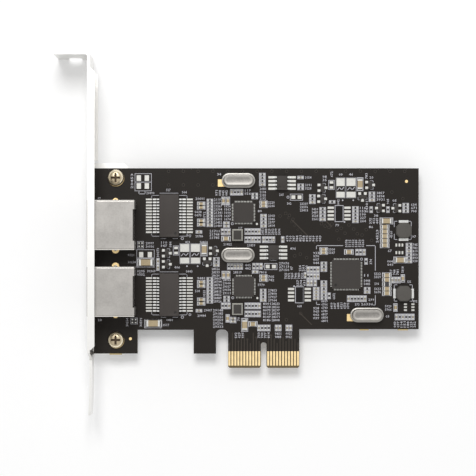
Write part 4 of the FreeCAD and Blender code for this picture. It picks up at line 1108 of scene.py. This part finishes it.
def eased_copy(node, radius, segments):
    """Merged copy of a solid with round edges; a can also gets its sunk panel, in painted shade."""
    bm = bmesh.new()
    bm.from_mesh(frame["nodes"][node].data)
    bmesh.ops.scale(bm, vec=(1 / MM, 1 / MM, 1 / MM), verts=bm.verts)
    bmesh.ops.remove_doubles(bm, verts=bm.verts, dist=1e-3)
    bmesh.ops.dissolve_limit(bm, angle_limit=math.radians(1), verts=bm.verts, edges=bm.edges)
    if "crystal" in node:
        top = max(bm.faces, key=lambda face: face.calc_center_median().z)
        bmesh.ops.inset_individual(bm, faces=[top], thickness=PANEL_INSET, depth=-PANEL_DEPTH)
        top.material_index = 1
    sharp = [edge for edge in bm.edges
             if edge.is_manifold and edge.calc_face_angle() > math.radians(20)]
    bmesh.ops.bevel(bm, geom=sharp, offset=radius, offset_type="OFFSET", affect="EDGES",
                    segments=segments, profile=0.5, material=-1, clamp_overlap=True)
    slot = SLOT_OF[node]
    finish_here = highlighted_powder if "moulded_inductor" in node else FINISHES[slot]
    piece = new_piece(node + "_eased", bm, finish_here, smooth=40)
    if "crystal" in node:
        # The panel's darker finish is painted shade.
        piece.data.materials.append(CAN_PANEL_SHADE)
    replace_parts(piece, node)


for entry in EASED:
    eased_copy(*entry)

# %% [markdown]
# Vias and buried traces
# Copper runs under the mask from the contact fingers up to the chips, and changes sides in
# plated holes. A trace is a low ridge with the mask over it; a via is a slightly raised ring with a
# dark disc in it, which is painted shade for the hole.

# %% Traces from the contacts
TRACE_LINE = 0.3
SMALL_VIA = 0.36
LARGE_VIA = 0.52
HOLE_SHARE = 0.7
HOLE_TOP = 0.006
VIA_STEP = 4.95
FIRST_RISE = 2.6
RISE_STEP = 0.7

traces = bmesh.new()
vias = bmesh.new()


def via(x, y, radius=LARGE_VIA):
    """Plated hole: a low ring with a dark disc in it, painted shade for the hole."""
    ring(vias, x, y, radius, radius * HOLE_SHARE, VIA_TOP, sides=12)
    disc(hole_shade_and_dark_mask, x, y, radius * HOLE_SHARE, HOLE_TOP, sides=12)


fingers = sorted({round((low.x + high.x) / 2, 3) for low, high in blocks("edge_contacts")})
finger_top = limits("edge_contacts")[1].y
for index, x in enumerate(fingers):
    rise = finger_top + FIRST_RISE + RISE_STEP * (index * 5 % 7)    # ends at staggered heights
    stroke(traces, (x, finger_top), (x, rise), TRACE_LINE, TRACE_TOP)
    if index % 3 == 0:
        via(x, rise, SMALL_VIA)
board_low, board_high = limits("circuit_board")
for below, count in ((1.0, 17), (5.6, 4)):
    for step in range(count):
        via(-31.9 + step * VIA_STEP, board_high.y - below)
for step in range(7):
    via(7.2 + step * 1.05, 51.6 - step * 1.3, SMALL_VIA)
for x, y in ((19.4, 48.4), (20.6, 47.6), (21.9, 47.2), (22.9, 48.3), (24.6, 46.1), (26.0, 46.9),
             (27.3, 45.2), (28.6, 48.0), (30.2, 46.6), (31.4, 45.0), (33.0, 44.6), (34.4, 46.4),
             (36.6, 48.9), (36.2, 42.8), (32.0, 42.9), (25.2, 43.2), (7.4, 51.9), (5.5, 51.0),
             (8.6, 51.2), (9.8, 49.9), (43.0, 59.0), (46.7, 56.8), (10.4, 37.6), (12.3, 38.2),
             (14.4, 37.0), (9.4, 27.2), (8.2, 30.6), (7.6, 16.2), (12.4, 18.3), (28.4, 16.9)):
    via(x, y)
for start, end in (((9.5, 49.6), (17.2, 41.9)), ((17.6, 52.6), (22.8, 47.4)),
                   ((12.2, 18.4), (16.0, 14.6))):
    stroke(traces, start, end, TRACE_LINE, TRACE_TOP)
new_piece("mask_ridges", traces, RAISED_MASK)
new_piece("via_rings", vias, RAISED_MASK)
new_piece("via_hole_shades_and_dark_mask", hole_shade_and_dark_mask, HOLE_SHADE_AND_DARK_MASK)

# %% [markdown]
# Highlighted folds and sawn edges
# The jacks are folded from tinned sheet, and the folds along their top catch the light; the bright
# strip laid on each is a painted highlight. The three stubs where the board was snapped from its
# panel have no mask on them. Both are thin strips, laid on the solid that they belong to.

# %% Painted highlights on the folds, and bare stubs
HEM = 0.22
HEM_RISE = 0.015
fold_highlights = bmesh.new()
for which in ("upper", "lower"):
    low, high = limits("port_shield_" + which)
    east = max(vert.co.x / MM for vert in frame["nodes"]["port_shield_" + which].data.vertices
               if vert.co.z / MM > high.z - 0.05)
    west = board_low.x + 0.3
    for y in (low.y + HEM / 2, high.y - HEM / 2):
        slab(fold_highlights, west, y - HEM / 2, east, y + HEM / 2, high.z - 0.1, high.z + HEM_RISE)
    print("jack top reaches from", round(west, 1), "to", round(east, 1), "at height", round(high.z, 2))
new_piece("shield_fold_highlights", fold_highlights, FOLD_HIGHLIGHT_TIN)

stubs = bmesh.new()
STUB_HEIGHT = 0.4
for left, right in ((-51.7, -47.6), (32.2, 35.2), (45.0, 48.4)):
    nearest_low = min(vert.co.y / MM for vert in frame["nodes"]["circuit_board"].data.vertices
                      if left - 0.1 < vert.co.x / MM < right + 0.1)
    slab(stubs, left, nearest_low, right, nearest_low + STUB_HEIGHT, -0.2, 0.01)
new_piece("bare_stubs", stubs, LAMINATE)

# %% [markdown]
# Pin-one dimples
# A shallow pit near one corner of a moulded top tells where its first lead is. The solids have
# the pits. Their floors are polished, and the dark disc that lies in each is painted shade for
# their darker look.

# %% Painted shade on the floors of the dimples
DIMPLE_RADIUS = 0.49
DIMPLE_FLOOR = 0.09
DIMPLES = [
    # node, and the place of the mark on its top
    ("transformer_upper", -29.7, 45.2), ("transformer_lower", -29.7, 18.8), ("switch_chip", 24.1, 27.8),
]
dimple_shades = bmesh.new()
for node, x, y in DIMPLES:
    low, high = limits(node)
    disc(dimple_shades, x, y, DIMPLE_RADIUS, high.z - DIMPLE_FLOOR, sides=24)
    print("dimple of", node, round(x - low.x, 2), "and", round(y - low.y, 2), "mm from its corner")
new_piece("pin_one_dimple_shades", dimple_shades, DIMPLE_SHADE)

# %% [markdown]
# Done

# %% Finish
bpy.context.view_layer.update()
